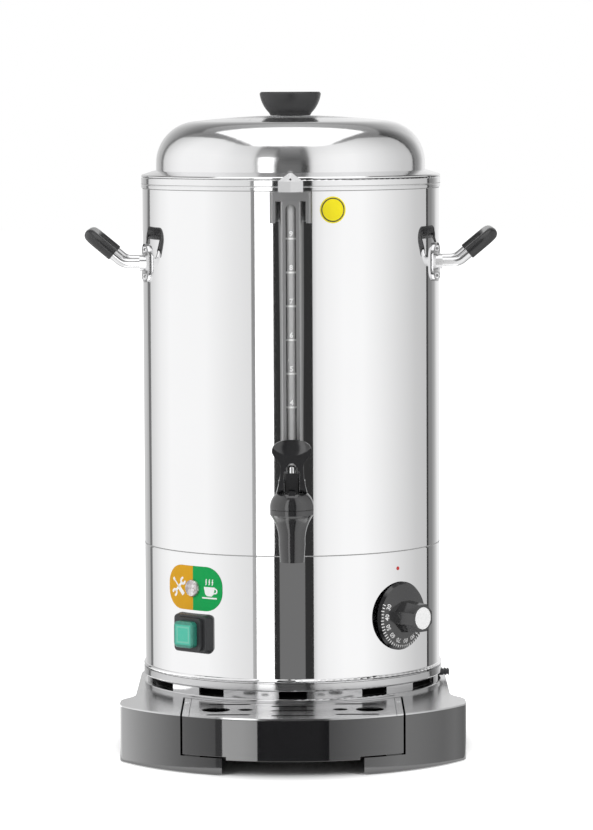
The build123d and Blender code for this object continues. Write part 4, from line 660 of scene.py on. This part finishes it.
def cup(sketch, x, y):
    polygon(sketch, [
        (x - 5.2 * MM, y + 2.4 * MM), (x - 4.0 * MM, y - 3.4 * MM), (x - 2.2 * MM, y - 4.9 * MM),
        (x + 2.2 * MM, y - 4.9 * MM), (x + 4.0 * MM, y - 3.4 * MM), (x + 5.2 * MM, y + 2.4 * MM)])
    ring(sketch, x + 5.2 * MM, y - 0.6 * MM, 1.3 * MM, 2.4 * MM, -110, 110, 16)
    bar(sketch, x, y - 6.4 * MM, 14.0 * MM, 1.2 * MM)
    for i in (-1, 0, 1):
        ring(sketch, x + i * 3.0 * MM - 1.0 * MM, y + 5.2 * MM, 0.8 * MM, 1.6 * MM, -70, 70, 10)
        ring(sketch, x + i * 3.0 * MM + 1.2 * MM, y + 7.4 * MM, 0.8 * MM, 1.6 * MM, 110, 250, 10)


signs = bmesh.new()
spanner(signs, TOOLS_X, 0, 45)
screwdriver(signs, TOOLS_X, 0, 135)
cup(signs, CUP_X, CUP_Y)
print_on("label_signs", signs, label_board, "label_plate", white_ink, "urn", lift=SIGN_LIFT)

# %% [markdown]
# ## Seams and hems, shaded by painted lines
# Where two sheets or two mouldings meet, there is a fine groove, and its shade is painted: between drum and
# base, at the fold and the hem of the rolled rim and at the joint of the tap's cap, a narrow dark band is
# laid round the part as a painted shadow line. A ray is sent inward from every side at two heights, and the
# band takes the points where the rays meet the part, so it follows any round shape without a second drawing
# of it. The drum's upright weld at the back is a band of satin steel, drawn flat and printed.

# %% Bands round the parts
def girdle(name, node, low, high, material, center=AXIS, reach=0.2, sides=240):
    """A film round a part from height low to height high; its rays start reach away from center."""
    tree, points = surface_of(node), []
    for i in range(sides):
        out = outward(i * 360 / sides)
        for z in (low, high):
            spot = Vector((center.x, center.y, z))
            hit = tree.ray_cast(spot + out * reach, -out)[0]
            points.append((hit or spot) + out * CLEAR)
    count = 2 * sides
    faces = [(i, i + 1, (i + 3) % count, (i + 2) % count) for i in range(0, count, 2)]
    mesh = bpy.data.meshes.new(name)
    mesh.from_pydata(points, [], faces)
    mesh.shade_smooth()
    mesh.materials.append(material)
    band = bpy.data.objects.new(name, mesh)
    bpy.context.scene.collection.objects.link(band)
    film = band.modifiers.new("film", "SOLIDIFY")
    film.thickness, film.offset = INK, 1.0
    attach(band, "urn")
    print(name, "at", round(low, 4), "radius", round((points[0] - center).to_2d().length, 4))


DRUM_FOOT, RIM_FOOT = drum_low.z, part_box("top_rim")[0].z
tap_low, tap_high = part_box("tap_bonnet")
# painted shade: dark lines in the grooves at the drum's foot, round the rim and at the tap's joint
girdle("drum_seam", "drum_shell", DRUM_FOOT + 0.1 * MM, DRUM_FOOT + 0.9 * MM, painted_groove_shade)
girdle("rim_fold", "top_rim", RIM_FOOT + 2.9 * MM, RIM_FOOT + 3.3 * MM, painted_groove_shade)
girdle("rim_hem", "drum_shell", RIM_FOOT - 0.9 * MM, RIM_FOOT - 0.3 * MM, painted_groove_shade)
girdle("tap_seam", "tap_body", tap_low.z - 0.7 * MM, tap_low.z - 0.2 * MM, foot_rubber,
       (tap_low + tap_high) / 2, 0.03, sides=96)

WELD_AT, WELD_WIDE, WELD_SHORT = 180.0, 1.2 * MM, 2 * MM      # the weld stops short of both ends of the drum
weld_line = bmesh.new()
weld_low, weld_high = DRUM_FOOT + WELD_SHORT, RIM_FOOT - WELD_SHORT
bar(weld_line, 0, (weld_low + weld_high) / 2, WELD_WIDE, weld_high - weld_low)
print_on("drum_weld", weld_line, face_frame(WELD_AT, 0), "drum_shell", tank_steel, "urn")

# %% [markdown]
# ## Softened plastic edges
# No moulding leaves its tool with a razor edge: a small radius is on every corner, and it is this radius that
# catches a thin line of light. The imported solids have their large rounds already. For the small ones, each
# part's mesh is welded into one skin and given a Bevel modifier that cuts only sharp corners; its shape and
# size stay the same, and `Weighted Normal` keeps the large faces flat.

# %% Bevel the mouldings
SOFT_EDGES = {
    "stand_skirt": 0.5, "drip_tray_pan": 0.5, "tap_lever": 0.5, "tap_bonnet": 0.4, "stem_block": 0.3,
    "switch_bezel": 0.5, "dial_knob": 0.45, "lid_knob": 0.4, "gauge_nut": 0.3, "gauge_bracket": 0.25,
    "handle_grip_left": 0.5, "handle_grip_right": 0.5,
}
for name, width in SOFT_EDGES.items():
    part = nodes[name]
    weld = part.modifiers.new("weld", "WELD")
    weld.merge_threshold = 0.01 * MM
    bevel = part.modifiers.new("soft_edge", "BEVEL")
    bevel.width, bevel.segments, bevel.limit_method = width * MM, 2, "ANGLE"
    bevel.angle_limit = math.radians(35)
    bevel.use_clamp_overlap = True
    flat = part.modifiers.new("flat_faces", "WEIGHTED_NORMAL")
    flat.keep_sharp = False
print("softened", len(SOFT_EDGES), "mouldings")

# %% [markdown]
# ## The studio
# Polished steel has no colour of its own: it shows the room. So the room is the most important part of how
# this urn looks. Product photographers build a tent of white boards and black flags round such an object,
# and these cells do the same: curved cards on a ring about the drum's axis, each with its own brightness.
# They glow, but only rays that leave a glossy surface see them, so they light nothing else and never stand in
# the picture. Each card fades in two directions, across it and up it, and the two ramps are multiplied. A
# card that stands on the floor has a foot, which carries its light inward for what looks down past it.

# %% Card helpers
TENT_R = 0.5
FOOT_IN, FOOT_UP = 0.26, 1 * MM         # the tall cards' feet lie on the floor as far in as this
LOW_SIDE, LOW_FRONT = 0.170, 0.2444     # half axes of the low cards' oval, which clears the stand all round
LOW_FOOT, LOW_TOP = 0.5 * MM, 42 * MM
CARD_STEP = 3           # degrees of the ring or the oval that one flat strip of a card takes
STEEL_TONE = 0.93       # what a polished sheet gives back of the light that it shows
PLAIN = ((0.0, 1.0), (1.0, 1.0))        # a ramp that doesn't fade


def glow(name, stops, rise=PLAIN, strength=1.0):
    """Emission that follows one ramp across a card and another up it."""
    finish = Finish(name)
    across, up, _ = finish.parts(finish.node("ShaderNodeUVMap"))
    shade = finish.parts(finish.ramp(across, stops))[0] * finish.parts(finish.ramp(up, rise))[0]
    lit = shade * (strength / STEEL_TONE)
    return finish.close(finish.node("ShaderNodeEmission", None, {"Color": (1, 1, 1, 1), "Strength": lit}))


def grid_card(name, spot, across, up, material):
    """A card made of a grid of points: spot(u, v) gives each point's place."""
    mesh = bpy.data.meshes.new(name)
    points = [spot(i / across, j / up) for j in range(up + 1) for i in range(across + 1)]
    row = across + 1
    faces = [(j * row + i, j * row + i + 1, (j + 1) * row + i + 1, (j + 1) * row + i)
             for j in range(up) for i in range(across)]
    mesh.from_pydata(points, [], faces)
    uv = mesh.uv_layers.new(name="UVMap")
    for loop in mesh.loops:
        j, i = divmod(loop.vertex_index, row)
        uv.data[loop.index].uv = (i / across, j / up)
    mesh.materials.append(material)
    card = bpy.data.objects.new(name, mesh)
    bpy.context.scene.collection.objects.link(card)
    for kind in ("camera", "diffuse", "transmission", "volume_scatter", "shadow"):
        setattr(card, "visible_" + kind, False)


def spread(start, end, shades):
    """Ramp stops from {direction in degrees: brightness}, for a card between two directions."""
    return [((angle - start) / (end - start), shade) for angle, shade in shades.items()]


def height_at(top, angle):
    """A card's top at a direction: one number, or {direction: height} with straight lines between."""
    if not isinstance(top, dict):
        return top
    marks = sorted(top.items())
    for (a, za), (b, zb) in zip(marks, marks[1:]):
        if angle <= b:
            return za + (zb - za) * max(0.0, angle - a) / (b - a)
    return marks[-1][1]


def tent_card(name, low, high, shades, rise=PLAIN, strength=1.0, r=TENT_R):
    """A curved card on edge, from the first to the last direction of its shades."""
    start, end = min(shades), max(shades)
    steps = max(2, round((end - start) / CARD_STEP))

    def spot(u, v):
        angle = start + u * (end - start)
        return place(angle, low + v * (height_at(high, angle) - low), r)

    def foot_spot(u, v):
        return place(start + u * (end - start), FOOT_UP, r + v * (FOOT_IN - r))

    stops = spread(start, end, shades)
    grid_card(name, spot, steps, 1, glow(name, stops, rise, strength))
    if low == 0:
        level = strength * rise[0][1]
        grid_card(name + "_foot", foot_spot, steps, 1, glow(name + "_foot", stops, strength=level))


def low_card(name, shades, strength=1.0):
    """A low card that stands close round the stand, on an oval path."""
    start, end = min(shades), max(shades)

    def spot(u, v):
        angle = math.radians(start + u * (end - start))
        r = 1 / math.hypot(math.sin(angle) / LOW_SIDE, math.cos(angle) / LOW_FRONT)
        return place(math.degrees(angle), LOW_FOOT + v * (LOW_TOP - LOW_FOOT), r)

    material = glow(name, spread(start, end, shades), strength=strength)
    grid_card(name, spot, max(4, round((end - start) / CARD_STEP)), 1, material)


print("card helpers ready")

# %% [markdown]
# ## The cards round the drum
# White panels left and right make the broad bright sides. A narrow strip of full light left of the middle is
# followed by a grey board between two black flags: that dark column is what tells the eye that the sheet is a
# mirror. Thin dark flags far round on both sides draw the line just inside each edge of the drum. The lid
# shows the cards' tops, so the wide panels are cut to a curve, and the flags grow lighter above the drum.

# %% Standing cards
PANEL_TOP = 0.95        # the middle cards end here, and the lid shows what is above them
STRIP_TOP = 0.61        # the bright strip ends here, where the lid begins to show it
LEFT_TOP = {-128.5: 0.76, -112: 0.943, -96: 1.06, -82: 1.10, -61: 1.02, -47: 0.94, -28: 0.93}
RIGHT_TOP = {14: 0.93, 27: 0.935, 40: 0.969, 60: 1.05, 83: 1.129, 101: 1.007, 118: 0.82}
FADE_UP = ((0.0, 1.0), (0.62, 1.0), (1.0, 0.84))
EDGE_RISE = ((0.0, 1.0), (0.13, 1.0), (0.35, 0.66), (1.0, 0.66))
GREY_RISE = ((0.0, 0.5), (0.45, 0.5), (0.6, 0.34), (1.0, 1.0))
REAR_RISE = ((0.0, 1.0), (0.58, 1.0), (0.66, 0.8), (0.84, 0.45), (1.0, 0.28))
FLAG_RISE = ((0.0, 0.25), (0.50, 0.25), (0.60, 0.9), (0.85, 1.2), (1.0, 2.4))
tent_card("left_panel", 0, LEFT_TOP, {-128.5: 0.64, -110: 0.86, -97: 0.94, -62: 0.93, -40: 0.80, -27: 0.74},
          FADE_UP)
tent_card("left_panel_edge", 0, PANEL_TOP, {-27: 0.42, -24.4: 0.36}, EDGE_RISE)
tent_card("bright_strip", 0, STRIP_TOP, {-24.4: 1.0, -12.3: 1.0}, strength=1.5)
tent_card("strip_backing", STRIP_TOP, PANEL_TOP, {-24.4: 0.45, -12.3: 0.45}, ((0.0, 1.0), (1.0, 0.3)))
tent_card("black_flag_left", 0, PANEL_TOP, {-12.3: 0.12, -8.6: 0.12}, FLAG_RISE)
tent_card("grey_flag", 0, PANEL_TOP, {-8.6: 0.31, 8.6: 0.31}, GREY_RISE)
tent_card("black_flag_right", 0, PANEL_TOP, {8.6: 0.12, 14.4: 0.12}, FLAG_RISE)
tent_card("right_panel", 0, RIGHT_TOP,
          {14.4: 0.62, 17.3: 0.81, 23.5: 0.89, 36: 0.95, 50: 0.95, 64: 0.855, 81: 0.72, 101: 0.58,
           117.5: 0.53}, FADE_UP)
tent_card("right_gap", 0, PANEL_TOP, {117.5: 0.03, 120.3: 0.04})
tent_card("rear_right", 0, PANEL_TOP,
          {120.3: 0.14, 122.6: 0.22, 127: 0.235, 133: 0.38, 139: 0.58, 145: 0.80, 180: 0.90}, REAR_RISE)
tent_card("left_flag", 0, PANEL_TOP, {-134: 0.16, -128.5: 0.18})
tent_card("rear_left", 0, PANEL_TOP, {-180: 0.85, -150: 0.60, -134: 0.40}, REAR_RISE)

# %% [markdown]
# ## Overhead light and low cards
# A spun lid shows the room's upper half. A wide softbox hangs over it, a little in front, and becomes the
# lens-shaped highlight; round it the room is dim, which leaves the grey band over the lid's shoulder. The
# black stand is too low to show the tall panels as straight bands, so low cards stand close round it on an
# oval path, in about the same directions.

# %% Softbox, dim upper room and low cards
UPPER_R, UPPER_TOP = 0.9, 2.2
SOFTBOX_Z, SOFTBOX_HALF = 1.14, 0.42
SOFTBOX_FRONT, SOFTBOX_BACK = -0.64, 0.29
ROOM_FOOT = PANEL_TOP - 0.12            # the upper room reaches down behind the panels' tops


def softbox_spot(u, v):
    y = SOFTBOX_FRONT + v * (SOFTBOX_BACK - SOFTBOX_FRONT)
    return AXIS + Vector(((2 * u - 1) * SOFTBOX_HALF, y, SOFTBOX_Z))


def ceiling_spot(u, v):
    return AXIS + Vector(((2 * u - 1) * UPPER_R, (2 * v - 1) * UPPER_R, UPPER_TOP))


grid_card("overhead_softbox", softbox_spot, 1, 1, glow("overhead_softbox", PLAIN, strength=1.2))
grid_card("ceiling", ceiling_spot, 1, 1, glow("ceiling", [(0.0, 0.30), (1.0, 0.30)]))
tent_card("upper_room", ROOM_FOOT, UPPER_TOP, {-180: 0.42, -120: 0.21, 0: 0.25, 120: 0.21, 180: 0.42},
          r=UPPER_R)
low_card("low_left", {-90: 1.0, -60: 1.0, -48.3: 0.90, -39: 0.58, -32.6: 0.39, -29.7: 0.31, -21.0: 0.19}, 2.3)
low_card("low_gap", {-21.0: 0.20, -19.2: 0.20})
low_card("low_strip", {-19.2: 1.0, -14: 0.95, -9.8: 0.78}, 2.15)
low_card("low_flag", {-9.8: 0.03, -7.5: 0.06, 7.0: 0.06, 9.9: 0.02})
low_card("low_right", {9.9: 0.42, 20: 0.75, 28.8: 1.05, 34: 0.95, 41.6: 0.72, 46: 0.80, 50: 0.55, 90: 0.40})

# %% [markdown]
# ## Floor, air and lamps
# The picture's background is plain white, but the urn must not float. The floor is white and matt, so it
# takes the soft shadow, and it glows a little for the eye alone, so that everything outside the shadow goes
# to full white. Under the stand the glow fades away in an oval, which lets the real shadow show and adds a
# painted shadow to it, or the gap below the tray would shine. `Light Path` tells the material which kind of
# ray asks. The air does the same: full white where it is seen, about half as bright where it lights the
# object, so that the plastics keep their depth.

# %% The floor
GLOW_X, GLOW_Y = 0.128, 0.165           # half axes of the oval under the stand where the glow is taken away, a painted shadow
GLOW_FROM, GLOW_FULL = 0.98, 1.22       # the glow begins and is full at these multiples of the oval
FLOOR_GLOW, FLOOR_HALF = 0.78, 12.0


def seen_by_eye(finish):
    """1 for the camera's rays and what steel and glass pass on, and 0 for light that falls on the object."""
    path = finish.node("ShaderNodeLightPath").socket.node
    camera, glossy, passed = (Value(finish, path.outputs[f"Is {kind} Ray"])
                              for kind in ("Camera", "Glossy", "Transmission"))
    return camera + glossy + passed


floor_finish = Finish("studio_floor")
reach = floor_finish.vector("LENGTH", floor_finish.stretched(1 / GLOW_X, 1 / GLOW_Y, 0), (0, 0, 0), out=1)
# painted shadow: the glow is taken away in an oval under the stand
lift_by = seen_by_eye(floor_finish) * reach.between(GLOW_FROM, GLOW_FULL) * FLOOR_GLOW
matt = floor_finish.node("ShaderNodeBsdfDiffuse", None, {"Color": (0.9, 0.9, 0.9, 1)})
lift = floor_finish.node("ShaderNodeEmission", None, {"Color": (1, 1, 1, 1), "Strength": lift_by})
floor_finish.close(floor_finish.node("ShaderNodeAddShader", None, {0: matt, 1: lift}))

floor_mesh = bpy.data.meshes.new("studio_floor")
corners = [(x * FLOOR_HALF, y * FLOOR_HALF, 0) for x, y in ((-1, -1), (1, -1), (1, 1), (-1, 1))]
floor_mesh.from_pydata(corners, [], [(0, 1, 2, 3)])
floor_mesh.materials.append(floor_finish.material)
floor = bpy.data.objects.new("studio_floor", floor_mesh)
bpy.context.scene.collection.objects.link(floor)
print("floor glows", FLOOR_GLOW)

# %% The air
AIR_LIGHT = 0.5         # how strongly the air lights the object
world = bpy.data.worlds.new("studio_air")
bpy.context.scene.world = world
world.use_nodes = True
world.node_tree.nodes.clear()
air = Finish("studio_air")
air.tree = world.node_tree
air_share = seen_by_eye(air).math("MINIMUM", 1.0)
background = air.node("ShaderNodeBackground", None,
                      {"Color": (1, 1, 1, 1), "Strength": AIR_LIGHT + (1 - AIR_LIGHT) * air_share})
air.node("ShaderNodeOutputWorld", None, {"Surface": background})
bpy.data.materials.remove(air.material)
print("air lights at", AIR_LIGHT)


# %% Two soft lamps
LAMP_SIZE, LAMP_AIM = 1.2, 0.25         # side of a lamp's square, and the height that it is turned to


def soft_lamp(name, at, power):
    data = bpy.data.lights.new(name, "AREA")
    data.shape, data.size, data.energy = "SQUARE", LAMP_SIZE, power
    lamp = bpy.data.objects.new(name, data)
    lamp.location = at
    lamp.rotation_euler = (AXIS + Vector((0, 0, LAMP_AIM)) - Vector(at)).to_track_quat("-Z", "Y").to_euler()
    lamp.visible_glossy = False
    bpy.context.scene.collection.objects.link(lamp)


soft_lamp("left_lamp", (-1.6, -1.7, 1.5), 26)
soft_lamp("right_lamp", (1.6, -1.5, 1.7), 22)
print("lamps at both sides")

# %% [markdown]
# ## The camera
# A long lens from far away keeps the drum's sides nearly parallel, as in a catalogue. The picture is 593 by
# 830 pixels, so the sensor's 36 mm lie along its height.

# %% Camera
LENS, SENSOR = 175.64, 36.0
CAMERA_AT = (0.00387, -3.24587, 0.5274)
TILT_DOWN, ROLL = math.radians(4.595), -0.0046
camera_data = bpy.data.cameras.new("portrait_camera")
camera_data.lens, camera_data.sensor_width = LENS, SENSOR
camera = bpy.data.objects.new("portrait_camera", camera_data)
camera.matrix_world = (Matrix.Translation(CAMERA_AT)
                       @ Matrix.Rotation(math.pi / 2 - TILT_DOWN, 4, "X") @ Matrix.Rotation(ROLL, 4, "Z"))
bpy.context.scene.collection.objects.link(camera)
bpy.context.scene.camera = camera
bpy.context.scene.view_settings.view_transform = "Standard"
print("camera", [round(v, 3) for v in camera.matrix_world.translation])
